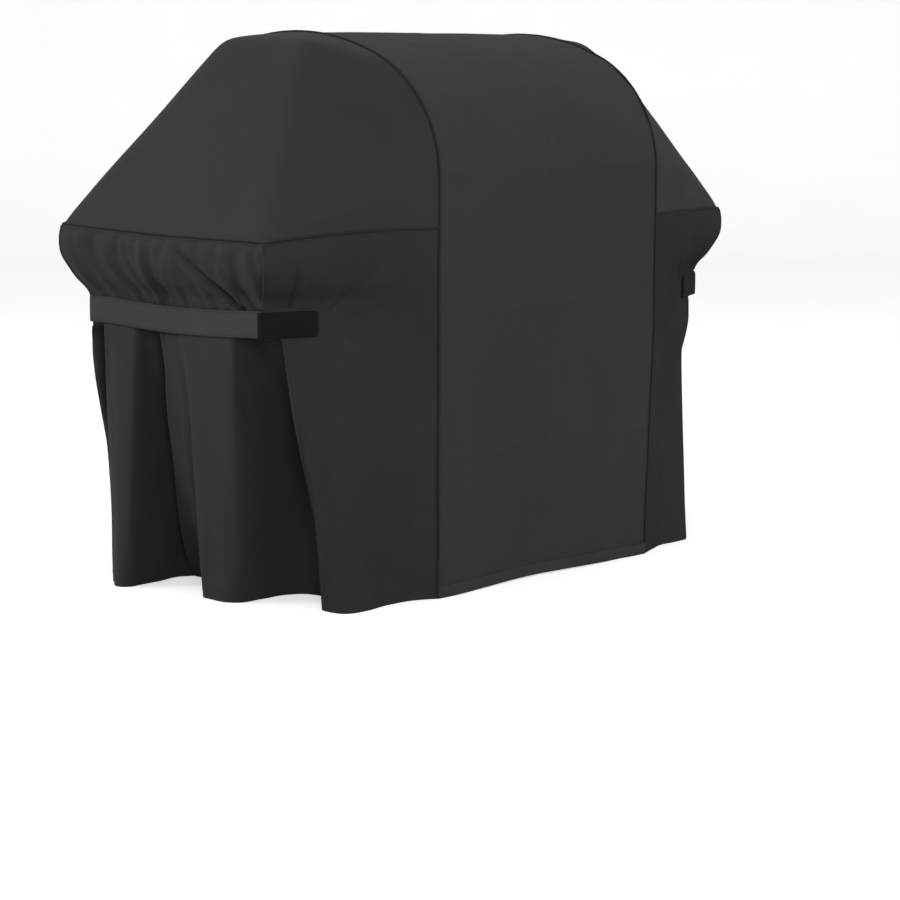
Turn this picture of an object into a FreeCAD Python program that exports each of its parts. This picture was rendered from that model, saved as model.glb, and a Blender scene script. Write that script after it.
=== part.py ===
"""Grill cover: a sewn weather cover for a three-burner cart grill.

Frame: millimetres, +Z up, +X along the cover's length, front at -Y, left at -X.
Origin: centre of the footprint, on the plane of the hem.

The cover is cut from flat cloth. One centre panel runs from the front hem, over the
hood and down to the back hem. At each end a shoulder panel closes the hood down to
side-shelf height, and three skirt panels hang from it: front, end and back. Piping
covers the arch seams and the shelf seams, and tape binds the seam allowances inside.
A webbing strap on each end is sewn to the back skirt, runs round the end under the
shelf and closes on the front skirt with hook and loop.

Cloth is drawn at a 2.5 mm working thickness (outer cloth, coating and the trapped
seam allowance together), so that each piece is a sound closed solid.
"""
import FreeCAD
import Part
import Sketcher
import math
import os

Vector = FreeCAD.Vector
Constraint = Sketcher.Constraint
doc = FreeCAD.newDocument("grill_cover")

# ------------------------------------------------------------------ driving sizes
SIZES = [
    ("overall_length", 1524.0),   # along X, over the two shelf corners
    ("overall_depth", 762.0),     # along Y, over the centre panel
    ("band_width", 732.0),        # centre panel, seam to seam
    ("cloth", 2.5),               # working thickness of the cloth
    ("spring_height", 840.0),     # where the front wall starts to curve
    ("haunch_radius", 265.0),     # the arch's tighter radius, front and back
    ("crown_radius", 546.62),     # the arch's flatter radius over the hood
    ("shelf_height", 746.0),      # seam between shoulder and skirts
    ("end_depth", 554.0),         # depth of the end at shelf height
    ("hood_end_x", 461.0),        # the hood's end edge, from the centre
    ("hood_end_y", 107.0),        # half length of that edge
    ("hood_end_z", 1115.0),       # its height
    ("waist_length", 1442.0),     # drawn in by the straps, along X
    ("waist_depth", 472.0),       # and along Y, at the ends
    ("hem_length", 1204.0),       # the skirts' hem along X
    ("hem_depth", 624.0),         # and along Y, at the ends
    ("corner_lobe", 52.0),        # hem, along Y from each corner to the first fold
    ("fold_reach", 657.0),        # how far the middle fold stands out, from the centre
    ("fold_half", 40.0),          # half its width
    ("valley_reach", 488.0),      # how far in the cloth goes between folds
    ("valley_near", 98.0),        # the bottom of each valley, nearer edge
    ("valley_far", 214.0),        # and farther edge, from the centre line
    ("strap_height", 568.0),      # centre line of the straps
    ("strap_width", 50.0),
    ("strap_thick", 2.0),
    ("strap_stand_off", 3.9),     # waist surface to the strap's mid plane
    ("fold_gap", 0.35),           # clearance at each fold line of the strap
    ("tab_length", 120.0),        # front end of the strap, from its fold line
    ("anchor_length", 60.0),      # back end of the strap, from its fold line
    ("tab_round", 5.0),           # rounded corners of the tab
    ("hook_thick", 1.3),
    ("loop_thick", 1.2),
    ("hook_length", 110.0),
    ("loop_length", 114.0),
    ("touch_width", 48.0),        # width of the hook and loop tapes
    ("seam_half_gap", 1.6),       # half the slot the arch piping sits in
    ("piping_radius", 2.0),
    ("piping_rise", 1.3),         # piping centre above the cloth's face
    ("shelf_piping", 3.5),        # depth of the shelf piping, in plan
    ("shelf_piping_tall", 4.0),
    ("shelf_piping_gap", 0.3),
    ("tape_width", 20.0),         # binding tape inside
    ("tape_thick", 1.2),
    ("tape_gap", 0.15),
]
sheet = doc.addObject("Spreadsheet::Sheet", "Sizes")
for row, (alias, number) in enumerate(SIZES, start=1):
    sheet.set("A%d" % row, alias)
    sheet.set("B%d" % row, repr(number))
    sheet.setAlias("B%d" % row, alias)
doc.recompute()

SIDES = (("left", -1), ("right", 1))


class Size:
    """A number together with the spreadsheet expression that gives it."""

    def __init__(self, value, text):
        self.value = value
        self.text = text

    def __add__(self, other):
        other = as_size(other)
        return Size(self.value + other.value, "(%s + %s)" % (self.text, other.text))

    def __sub__(self, other):
        other = as_size(other)
        return Size(self.value - other.value, "(%s - %s)" % (self.text, other.text))

    def __mul__(self, other):
        other = as_size(other)
        return Size(self.value * other.value, "(%s * %s)" % (self.text, other.text))

    def __truediv__(self, other):
        other = as_size(other)
        return Size(self.value / other.value, "(%s / %s)" % (self.text, other.text))

    def __neg__(self):
        return Size(-self.value, "(-%s)" % self.text)

    __radd__ = __add__
    __rmul__ = __mul__

    def root(self):
        return Size(math.sqrt(self.value), "sqrt(%s)" % self.text)


def as_size(number):
    return number if isinstance(number, Size) else Size(float(number), "(%r)" % number)


def dim(alias):
    """A driving size as a plain number."""
    return float(sheet.get(alias))


def size(alias):
    """A driving size that carries its expression along."""
    return Size(dim(alias), "Sizes." + alias)


# ------------------------------------------------------------------ document helpers
parts = {}


def keep(name, obj):
    """Label an object as a finished piece, to be exported."""
    obj.Label = name
    parts[name] = obj


def keep_shape(name, shape):
    feature = doc.addObject("Part::Feature", name)
    feature.Shape = shape
    keep(name, feature)


def drive(obj, prop, amount):
    """Set a property and bind it to the spreadsheet."""
    setattr(obj, prop, amount.value)
    obj.setExpression(prop, amount.text)


def new_body(name):
    return doc.addObject("PartDesign::Body", name + "_body")


def new_sketch(body, name, role, offset):
    """A sketch parallel to one of the body's origin planes, offset along its normal."""
    offset = as_size(offset)
    sketch = body.newObject("Sketcher::SketchObject", name)
    support = [f for f in body.Origin.OriginFeatures if f.Role == role][0]
    sketch.AttachmentSupport = [(support, "")]
    sketch.MapMode = "FlatFace"
    sketch.AttachmentOffset = FreeCAD.Placement(Vector(0, 0, offset.value), FreeCAD.Rotation())
    sketch.setExpression(".AttachmentOffset.Base.z", offset.text)
    return sketch


def finish_pad(name, body, sketch, length):
    """Pad the sketch along its normal and leave the pad as the body's tip."""
    pad = body.newObject("PartDesign::Pad", name + "_pad")
    pad.Profile = sketch
    drive(pad, "Length", length)
    doc.recompute()
    body.Tip = pad
    keep(name, body)


# ------------------------------------------------------------------ sketch helpers
# Point numbers of a sketch element: 1 start, 2 end, 3 centre. (-1, 1) is the origin.
def add_named(sketch, constraint, name, amount):
    index = sketch.addConstraint(constraint)
    sketch.renameConstraint(index, name)
    sketch.setExpression("Constraints." + name, amount.text)


def pin(sketch, kind, element, point, coordinate, name=None):
    """Fix one coordinate of a point (kind DistanceX or DistanceY); a named pin is bound."""
    coordinate = as_size(coordinate)
    if coordinate.value >= 0:
        constraint = Constraint(kind, -1, 1, element, point, coordinate.value)
    else:
        coordinate = -coordinate
        constraint = Constraint(kind, element, point, -1, 1, coordinate.value)
    if name:
        add_named(sketch, constraint, name, coordinate)
    else:
        sketch.addConstraint(constraint)


def pin_start(sketch, line, place, name=None):
    """Fix the start of a line at place, an (x, y) pair."""
    pin(sketch, "DistanceX", line, 1, place[0], name and name + "_x")
    pin(sketch, "DistanceY", line, 1, place[1], name and name + "_y")


def add_line(sketch, x1, y1, x2, y2):
    return sketch.addGeometry(Part.LineSegment(Vector(x1, y1, 0), Vector(x2, y2, 0)), False)


def add_arc(sketch, x, y, radius, start, end):
    circle = Part.Circle(Vector(x, y, 0), Vector(0, 0, 1), radius)
    return sketch.addGeometry(Part.ArcOfCircle(circle, start, end), False)


def add_loop(sketch, points):
    """A closed loop of lines; line i starts at point i."""
    following = points[1:] + points[:1]
    lines = [add_line(sketch, a[0], a[1], b[0], b[1]) for a, b in zip(points, following)]
    for line, after in zip(lines, lines[1:] + lines[:1]):
        sketch.addConstraint(Constraint("Coincident", line, 2, after, 1))
    return lines


# ------------------------------------------------------------------ the arch
# Centres and the meeting angle of the arcs are the same for every offset of the arch.
HAUNCH_CENTER_Y = dim("overall_depth") / 2 - dim("haunch_radius")
CROWN_CENTER_Z = dim("spring_height") - math.sqrt(
    (dim("crown_radius") - dim("haunch_radius")) ** 2 - HAUNCH_CENTER_Y ** 2)
HAUNCH_ANGLE = math.atan2(dim("spring_height") - CROWN_CENTER_Z, HAUNCH_CENTER_Y)

TAPE_FOOT = 4.0        # lower end of the inside tapes, above the hem
PIPING_FOOT = 1.0      # lower end of the arch piping, above the hem
HOLLOW_OVERRUN = 5.0   # how far the hollow's section goes below the hem


def draw_arch(sketch, outset, foot, closed=True):
    """Wall, haunch, crown, haunch, wall in a Y-Z sketch, with a foot line if closed.
    outset is measured outwards from the cloth's outer face."""
    half = size("overall_depth") / 2 + outset
    haunch = size("haunch_radius") + outset
    crown = size("crown_radius") + outset
    spring = size("spring_height")
    half_y, spring_z = half.value, spring.value

    front_wall = add_line(sketch, -half_y, foot, -half_y, spring_z)
    front_haunch = add_arc(sketch, -HAUNCH_CENTER_Y, spring_z, haunch.value,
                           math.pi - HAUNCH_ANGLE, math.pi)
    top = add_arc(sketch, 0, CROWN_CENTER_Z, crown.value, HAUNCH_ANGLE, math.pi - HAUNCH_ANGLE)
    back_haunch = add_arc(sketch, HAUNCH_CENTER_Y, spring_z, haunch.value, 0, HAUNCH_ANGLE)
    back_wall = add_line(sketch, half_y, spring_z, half_y, foot)

    for constraint in (
        ("Tangent", front_wall, 2, front_haunch, 2),
        ("Tangent", front_haunch, 1, top, 2),
        ("Tangent", top, 1, back_haunch, 2),
        ("Tangent", back_haunch, 1, back_wall, 1),
        ("Vertical", front_wall),
        ("Vertical", back_wall),
        ("Symmetric", front_wall, 1, back_wall, 2, -2),
        ("PointOnObject", top, 3, -2),
        ("Equal", front_haunch, back_haunch),
    ):
        sketch.addConstraint(Constraint(*constraint))
    pin(sketch, "DistanceX", front_wall, 1, -half, "half")
    pin(sketch, "DistanceY", front_haunch, 3, spring, "spring")
    add_named(sketch, Constraint("Radius", front_haunch, haunch.value), "haunch", haunch)
    add_named(sketch, Constraint("Radius", top, crown.value), "crown", crown)
    if closed:
        foot_line = add_line(sketch, half_y, foot, -half_y, foot)
        sketch.addConstraint(Constraint("Coincident", back_wall, 2, foot_line, 1))
        sketch.addConstraint(Constraint("Coincident", foot_line, 2, front_wall, 1))
    if foot == 0:
        sketch.addConstraint(Constraint("PointOnObject", front_wall, 1, -1))
    else:
        pin(sketch, "DistanceY", front_wall, 1, foot, "foot")


def arch_band(name, outer, inner, x_start, length, foot=0.0):
    """A band that follows the arch: a loaf padded along +X from x_start, then hollowed."""
    body = new_body(name)
    loaf = new_sketch(body, name + "_outer", "YZ_Plane", x_start)
    draw_arch(loaf, outer, foot)
    pad = body.newObject("PartDesign::Pad", name + "_pad")
    pad.Profile = loaf
    drive(pad, "Length", length)
    hollow = new_sketch(body, name + "_inner", "YZ_Plane", x_start + length + 1)
    draw_arch(hollow, inner, -HOLLOW_OVERRUN)
    doc.recompute()
    full_volume = pad.Shape.Volume

    pocket = body.newObject("PartDesign::Pocket", name + "_hollow")
    pocket.Profile = hollow
    pocket.Type = "ThroughAll"
    pocket.Reversed = False
    doc.recompute()
    # Guards against a pocket that runs away from the loaf.
    if pocket.Shape.isNull() or pocket.Shape.Volume > full_volume * 0.9:
        pocket.Reversed = True
        doc.recompute()
    if pocket.Shape.Volume > full_volume * 0.9:
        raise RuntimeError(name + ": the hollow cut nothing")
    body.Tip = pocket
    keep(name, body)


def arch_piping(name, sign):
    """A cord swept along the arch seam, from hem to hem."""
    body = new_body(name)
    seam_x = sign * (size("band_width") / 2)
    path = new_sketch(body, name + "_path", "YZ_Plane", seam_x)
    draw_arch(path, size("piping_rise"), PIPING_FOOT, closed=False)

    section = new_sketch(body, name + "_section", "XY_Plane", PIPING_FOOT)
    radius = size("piping_radius")
    center_y = -(size("overall_depth") / 2 + size("piping_rise"))
    center = Vector(seam_x.value, center_y.value, 0)
    cord = section.addGeometry(Part.Circle(center, Vector(0, 0, 1), radius.value), False)
    add_named(section, Constraint("Radius", cord, radius.value), "cord", radius)
    pin(section, "DistanceX", cord, 3, seam_x, "seam")
    pin(section, "DistanceY", cord, 3, center_y, "face")

    sweep = body.newObject("PartDesign::AdditivePipe", name + "_sweep")
    sweep.Profile = section
    sweep.Spine = (path, [])
    doc.recompute()
    body.Tip = sweep
    keep(name, body)


band_edge = size("band_width") / 2 - size("seam_half_gap")
arch_band("center_panel", 0.0, -size("cloth"), -band_edge,
          size("band_width") - 2 * size("seam_half_gap"))

# Tape inside each edge of the centre panel.
tape_face = -size("cloth") - size("tape_gap")
for side, x_start in (("left", -band_edge), ("right", band_edge - size("tape_width"))):
    arch_band(side + "_arch_seam_tape", tape_face, tape_face - size("tape_thick"),
              x_start, size("tape_width"), foot=TAPE_FOOT)

for side, sign in SIDES:
    arch_piping(side + "_arch_piping", sign)


# ------------------------------------------------------------------ plan outlines of the ends
CLOTH = dim("cloth")
SEAM_X = dim("band_width") / 2 + dim("seam_half_gap")


def offset_left(path, distance):
    """Offset an open plan path to its left-hand side, mitred at the corners.
    The first and last points slide along X = constant, on the seam planes."""
    directions = []
    for a, b in zip(path[:-1], path[1:]):
        run = math.hypot(b[0] - a[0], b[1] - a[1])
        directions.append(((b[0] - a[0]) / run, (b[1] - a[1]) / run))

    def slide(point, direction):
        if abs(direction[0]) < 1e-9:
            return point
        return (point[0], point[1] + distance / direction[0])

    moved = [slide(path[0], directions[0])]
    for point, before, after in zip(path[1:-1], directions[:-1], directions[1:]):
        scale = distance / (1 + before[0] * after[0] + before[1] * after[1])
        moved.append((point[0] - (before[1] + after[1]) * scale,
                      point[1] + (before[0] + after[0]) * scale))
    moved.append(slide(path[-1], directions[-1]))
    return moved


def toward(start, end, distance):
    """The point at a distance from start on the line to end."""
    share = distance / math.hypot(end[0] - start[0], end[1] - start[1])
    return (start[0] + (end[0] - start[0]) * share, start[1] + (end[1] - start[1]) * share)


def end_outline(sign, length, depth, inset=0.0, clear=0.0):
    """Front seam foot, front corner, back corner, back seam foot, offset inwards by inset.
    clear cuts both ends back from the arch seams, measured along X."""
    half_depth = dim("overall_depth") / 2
    points = [(sign * SEAM_X, -half_depth), (sign * length / 2, -depth / 2),
              (sign * length / 2, depth / 2), (sign * SEAM_X, half_depth)]
    # The left end runs clockwise seen from above, so its inside is on the right hand.
    points = offset_left(points, sign * inset)
    for end, corner in ((0, 1), (-1, -2)):
        share = clear / abs(points[corner][0] - points[end][0])
        points[end] = tuple(
            points[end][i] + (points[corner][i] - points[end][i]) * share for i in (0, 1))
    return points


def waist_outline(sign, inset=0.0):
    return end_outline(sign, dim("waist_length"), dim("waist_depth"), inset)


# ------------------------------------------------------------------ faceted solids
def add_triangle(faces, a, b, c):
    """Add a triangular face, unless its corners lie on one line."""
    if (b - a).cross(c - a).Length > 1e-7:
        faces.append(Part.Face(Part.makePolygon([a, b, c, a])))


def sewn_solid(faces, merge=False):
    """The solid inside a closed set of faces; merge joins faces that share a plane."""
    shell = Part.makeShell(faces)
    shell.sewShape()
    solid = Part.makeSolid(Part.Shell(shell.Faces))
    if merge and solid.isValid():
        solid = solid.removeSplitter()
        if solid.ShapeType != "Solid" and len(solid.Solids) == 1:
            solid = solid.Solids[0]
    if solid.Volume < 0:
        solid.reverse()
    return solid


def skin(outer, inner):
    """A closed solid between two grids of points with the same layout (rows of points)."""
    faces = []

    def quad(a, b, c, d):
        normal = (b - a).cross(c - a)
        flat = abs(normal.dot(d - a)) < 1e-6 * max(normal.Length, 1.0)
        if flat and normal.Length > 1e-7:
            faces.append(Part.Face(Part.makePolygon([a, b, c, d, a])))
        else:
            add_triangle(faces, a, b, c)
            add_triangle(faces, a, c, d)

    rows, columns = len(outer), len(outer[0])
    for r in range(rows - 1):
        for k in range(columns - 1):
            quad(outer[r][k], outer[r][k + 1], outer[r + 1][k + 1], outer[r + 1][k])
            quad(inner[r][k], inner[r + 1][k], inner[r + 1][k + 1], inner[r][k + 1])
    for k in range(columns - 1):
        quad(outer[0][k], inner[0][k], inner[0][k + 1], outer[0][k + 1])
        quad(outer[-1][k], outer[-1][k + 1], inner[-1][k + 1], inner[-1][k])
    for r in range(rows - 1):
        quad(outer[r][0], outer[r + 1][0], inner[r + 1][0], inner[r][0])
        quad(outer[r][-1], inner[r][-1], inner[r + 1][-1], outer[r + 1][-1])
    return sewn_solid(faces)


# ------------------------------------------------------------------ skirts
SHELF_SLOT = 0.4    # half the slot at a shelf seam
CORNER_SLOT = 0.4   # half the slot at a corner seam
WAIST_MARGIN = 1    # the straight waist goes this far above and below the strap

waist_top = size("strap_height") + size("strap_width") / 2 + WAIST_MARGIN
waist_foot = size("strap_height") - size("strap_width") / 2 - WAIST_MARGIN

# Sections of the skirts: name, height, length alias, depth alias.
LEVELS = [
    ("shelf", size("shelf_height") - SHELF_SLOT, "overall_length", "end_depth"),
    ("waist_top", waist_top, "waist_length", "waist_depth"),
    ("waist_foot", waist_foot, "waist_length", "waist_depth"),
    ("hem", as_size(0.0), "hem_length", "hem_depth"),
]

# Where the end skirt's fold lines cross the upper levels, as shares of the depth
# from the corner.
FOLD_SHARES = (0.10, 0.24, 0.34, 0.44)
# The same lines at the hem, as distances (x, y) from the centre lines.
HEM_FOLDS = (
    (size("hem_length") / 2, size("hem_depth") / 2 - size("corner_lobe")),
    (size("valley_reach"), size("valley_far")),
    (size("valley_reach"), size("valley_near")),
    (size("fold_reach"), size("fold_half")),
)


def plan_points(sign, length, depth):
    """The front half's outer and inner corner points of the plan at one level."""
    seam_x = size("band_width") / 2 + size("seam_half_gap")
    face_y = -size("overall_depth") / 2
    cloth = size("cloth")
    # tangent of the angle by which the front face leans from seam to corner
    lean = (size("overall_depth") - depth) / 2 / (length / 2 - seam_x)
    slant = (1 + lean * lean).root()
    inner_y = face_y + cloth * slant + lean * (length / 2 - cloth - seam_x)
    slot_x = as_size(CORNER_SLOT) / slant
    slot_y = CORNER_SLOT * lean / slant
    return {
        "foot_outer": (sign * seam_x, face_y),
        "foot_inner": (sign * seam_x, face_y + cloth * slant),
        "front_outer": (sign * (length / 2 - slot_x), -depth / 2 - slot_y),
        "front_inner": (sign * (length / 2 - cloth - slot_x), inner_y - slot_y),
        "end_outer": (sign * (length / 2), -depth / 2 + CORNER_SLOT),
        "end_inner": (sign * (length / 2 - cloth), inner_y + CORNER_SLOT),
    }


def back_of(point):
    """The same point mirrored to the back."""
    return (point[0], -point[1])


def numbers(points):
    return [(x.value, y.value) for x, y in points]


def ruled_loft(name, body, sketches):
    loft = body.newObject("PartDesign::AdditiveLoft", name + "_loft")
    loft.Profile = sketches[0]
    loft.Sections = sketches[1:]
    loft.Ruled = True
    doc.recompute()
    body.Tip = loft
    keep(name, body)


def face_skirt(name, sign, is_back):
    """Front or back skirt: a thin four-sided section at each level."""
    body = new_body(name)
    sketches = []
    for level, z, length, depth in LEVELS:
        plan = plan_points(sign, size(length), size(depth))
        corners = [plan[key] for key in ("foot_outer", "front_outer", "front_inner", "foot_inner")]
        if is_back:
            corners = [back_of(point) for point in corners]
        sketch = new_sketch(body, name + "_" + level, "XY_Plane", z)
        lines = add_loop(sketch, numbers(corners))
        for i, point in enumerate(corners):
            pin_start(sketch, lines[i], point, "p%d" % i)
        sketches.append(sketch)
    ruled_loft(name, body, sketches)


def end_skirt(name, sign):
    """End skirt: straight at the shelf and under the strap, folded at the hem."""
    body = new_body(name)
    sketches = []
    for level, z, length_alias, depth_alias in LEVELS:
        length, depth = size(length_alias), size(depth_alias)
        plan = plan_points(sign, length, depth)
        inner_end = plan["end_inner"]
        outer = [plan["end_outer"]]
        if level == "hem":
            outer += [(sign * x, -y) for x, y in HEM_FOLDS]
        else:
            outer += [(sign * (length / 2), -depth / 2 * (1 - 2 * share))
                      for share in FOLD_SHARES]
        outer += [back_of(point) for point in reversed(outer)]

        # The inner line is mitred, from the front inner corner to the back inner corner.
        outer_xy = numbers(outer)
        inner_xy = offset_left(outer_xy, sign * CLOTH)
        inner_xy[0], inner_xy[-1] = numbers([inner_end, back_of(inner_end)])
        count = len(outer)
        sketch = new_sketch(body, name + "_" + level, "XY_Plane", z)
        lines = add_loop(sketch, outer_xy + inner_xy[::-1])
        for i, point in enumerate(outer + [back_of(inner_end)]):
            pin_start(sketch, lines[i], point, "p%d" % i)
        last = 2 * count - 1
        pin_start(sketch, lines[last], inner_end, "p%d" % last)

        for i in range(1, count - 1):
            inner_line = lines[last - i]   # starts at the inner point under outer point i
            if level == "hem":
                # each inner corner lies one cloth away from both outer runs that meet there
                for run, tag in ((i, "a"), (i - 1, "b")):
                    distance = Constraint("Distance", inner_line, 1, lines[run], CLOTH)
                    add_named(sketch, distance, "cloth_%d%s" % (i, tag), size("cloth"))
            else:
                inner_x = sign * (length / 2 - size("cloth"))
                pin_start(sketch, inner_line, (inner_x, outer[i][1]), "i%d" % i)
        sketches.append(sketch)
    ruled_loft(name, body, sketches)


for side, sign in SIDES:
    face_skirt(side + "_front_skirt", sign, is_back=False)
    face_skirt(side + "_back_skirt", sign, is_back=True)
    end_skirt(side + "_end_skirt", sign)

# ------------------------------------------------------------------ shoulder panels
SHELF_Z = dim("shelf_height")
HAUNCH_STEPS = 14            # facets along each haunch
CROWN_STEPS = 8              # facets along each half of the crown
HOOD_INSET = CLOTH * 1.25    # inner hood edge, in from the outer one on each axis


def arch_points(x, foot_z, inset):
    """Points on the arch above the shelf seam, front foot to back foot."""
    haunch = dim("haunch_radius") - inset
    crown = dim("crown_radius") - inset
    front = [(inset - dim("overall_depth") / 2, foot_z)]
    for k in range(HAUNCH_STEPS):
        angle = HAUNCH_ANGLE * k / HAUNCH_STEPS
        front.append((-HAUNCH_CENTER_Y - haunch * math.cos(angle),
                      dim("spring_height") + haunch * math.sin(angle)))
    for k in range(CROWN_STEPS + 1):
        angle = HAUNCH_ANGLE + (math.pi / 2 - HAUNCH_ANGLE) * k / CROWN_STEPS
        front.append((-crown * math.cos(angle), CROWN_CENTER_Z + crown * math.sin(angle)))
    whole = front + [(-y, z) for y, z in reversed(front[:-1])]
    return [Vector(x, y, z) for y, z in whole]


def shoulder_corners(sign, foot_z, inset, hood_inset):
    """One side of the cloth: its arch, shelf corners and hood edge ends, front then back."""
    plan = end_outline(sign, dim("overall_length"), dim("end_depth"), inset)
    arch = arch_points(sign * SEAM_X, foot_z, inset)
    arch[0].y, arch[-1].y = plan[0][1], plan[3][1]
    shelf = [Vector(x, y, foot_z) for x, y in plan[1:3]]
    hood_y = dim("hood_end_y") - hood_inset
    hood = [Vector(sign * (dim("hood_end_x") - hood_inset), y, dim("hood_end_z") - hood_inset)
            for y in (-hood_y, hood_y)]
    return arch, shelf, hood


def shoulder_panel(name, sign):
    foot_z = SHELF_Z + SHELF_SLOT
    outer = shoulder_corners(sign, foot_z, 0.0, 0.0)
    inner = shoulder_corners(sign, foot_z, CLOTH, HOOD_INSET)
    outer_arch, (front_corner, _), (front_hood, _) = outer
    middle = len(outer_arch) // 2

    def bulge(i):
        """How far the arch stands out of the plane through arch point i, corner and hood."""
        normal = (front_hood - front_corner).cross(outer_arch[i] - front_corner)
        if normal.y > 0:
            normal = normal * -1
        normal.normalize()
        return max((point - front_corner).dot(normal) for point in outer_arch[:middle])

    # the arch point where a taut cloth changes from the corner fan to the hood fan
    split = min(range(1, middle), key=bulge)

    def half_fans(arch, corner, hood):
        fans = [(arch[i], arch[i + 1], corner) for i in range(split)]
        fans.append((arch[split], hood, corner))
        fans += [(arch[i], arch[i + 1], hood) for i in range(split, middle)]
        return fans

    def sheet_triangles(arch, shelf, hood):
        fans = half_fans(arch, shelf[0], hood[0])
        fans += [(a, c, b) for a, b, c in half_fans(arch[::-1], shelf[1], hood[1])]
        fans.append((arch[middle], hood[1], hood[0]))
        fans.append((hood[0], hood[1], shelf[1]))
        fans.append((hood[0], shelf[1], shelf[0]))
        return fans

    triangles = sheet_triangles(*outer)
    triangles += [(a, c, b) for a, b, c in sheet_triangles(*inner)]
    outer_rim, inner_rim = [
        [shelf[0]] + arch + [shelf[1], shelf[0]] for arch, shelf, _ in (outer, inner)]
    for i in range(len(outer_rim) - 1):
        a, b, c, d = outer_rim[i], outer_rim[i + 1], inner_rim[i + 1], inner_rim[i]
        triangles.append((a, d, c))
        triangles.append((a, c, b))
    faces = []
    for a, b, c in triangles:
        add_triangle(faces, a, b, c)
    keep_shape(name, sewn_solid(faces, merge=True))


for side, sign in SIDES:
    shoulder_panel(side + "_shoulder_panel", sign)

# ------------------------------------------------------------------ shelf piping
PIPING_CLEAR = 1.0   # shelf piping stops this far from the arch seams, along X


def shelf_piping(name, sign):
    """A strip round the end, just outside the shelf seam."""
    body = new_body(name)
    tall = size("shelf_piping_tall")
    sketch = new_sketch(body, name + "_plan", "XY_Plane", size("shelf_height") - tall / 2)
    gap = dim("shelf_piping_gap")
    far_side, near_side = [
        end_outline(sign, dim("overall_length"), dim("end_depth"), -outset, PIPING_CLEAR)
        for outset in (gap + dim("shelf_piping"), gap)]
    points = far_side + near_side[::-1]
    for line, point in zip(add_loop(sketch, points), points):
        pin_start(sketch, line, point)
    finish_pad(name, body, sketch, tall)


for side, sign in SIDES:
    shelf_piping(side + "_shelf_piping", sign)

# ------------------------------------------------------------------ shelf and corner seam tapes
WAIST_TOP_Z = waist_top.value
WAIST_FOOT_Z = waist_foot.value
TAPE_INSET = CLOTH + dim("tape_gap")
SHELF_TAPE_INSET = TAPE_INSET + 0.6    # with slack for the lean of the skirts
CORNER_TAPE_INSET = TAPE_INSET + 0.3
SHELF_TAPE_DROP = 1.0                  # top of the shelf tape below the seam
SHELF_TAPE_CLEAR = 0.4                 # its ends from the arch seams, along X
SHELF_TAPE_ROWS = 6
CORNER_TAPE_DROP = 26.0                # top of the corner tapes below the seam


def skirt_size(z):
    """Length and depth of the skirts' plan at height z."""
    if z >= WAIST_TOP_Z:
        other, share = ("overall_length", "end_depth"), (SHELF_Z - z) / (SHELF_Z - WAIST_TOP_Z)
        start, end = other, ("waist_length", "waist_depth")
    else:
        share = max(WAIST_FOOT_Z - z, 0.0) / WAIST_FOOT_Z
        start, end = ("waist_length", "waist_depth"), ("hem_length", "hem_depth")
    return [dim(a) + (dim(b) - dim(a)) * share for a, b in zip(start, end)]


def shelf_seam_tape(name, sign):
    """Tape against the inside of the skirts, under the shelf seam, leaning with them."""
    outer, inner = [], []
    for k in range(SHELF_TAPE_ROWS + 1):
        z = SHELF_Z - SHELF_TAPE_DROP - dim("tape_width") * k / SHELF_TAPE_ROWS
        length, depth = skirt_size(z)
        for inset, grid in ((SHELF_TAPE_INSET, outer),
                            (SHELF_TAPE_INSET + dim("tape_thick"), inner)):
            plan = end_outline(sign, length, depth, inset, SHELF_TAPE_CLEAR)
            grid.append([Vector(x, y, z) for x, y in plan])
    keep_shape(name, skin(outer, inner))


def corner_seam_tapes(name, sign):
    """Two tapes, down the inside of the front and back corner seams to the hem."""
    solids = []
    reach = dim("tape_width") / 2
    for first in (0, 1):   # outline point before the corner: front corner, then back
        outer, inner = [], []
        for z in (SHELF_Z - CORNER_TAPE_DROP, WAIST_TOP_Z, WAIST_FOOT_Z, TAPE_FOOT):
            length, depth = skirt_size(z)
            for inset, grid in ((CORNER_TAPE_INSET, outer),
                                (CORNER_TAPE_INSET + dim("tape_thick"), inner)):
                plan = end_outline(sign, length, depth, inset)
                before, corner, after = plan[first:first + 3]
                row = (toward(corner, before, reach), corner, toward(corner, after, reach))
                grid.append([Vector(x, y, z) for x, y in row])
        solids.append(skin(outer, inner))
    keep_shape(name, Part.makeCompound(solids))


for side, sign in SIDES:
    shelf_seam_tape(side + "_shelf_seam_tape", sign)
    corner_seam_tapes(side + "_corner_seam_tapes", sign)

# ------------------------------------------------------------------ straps
SMALL_ROUND = 2.0     # rounded corners of the anchor and the hook and loop pieces
HOOK_END_GAP = 2.0    # far end of the hook tape, in from the tab's end
LOOP_LEAD = 1.0       # the loop patch starts this much nearer the fold line
HOOK_GAP = 0.1        # hook tape to the tab's inner face
LOOP_GAP = 0.15       # loop patch to the skirt


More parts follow.
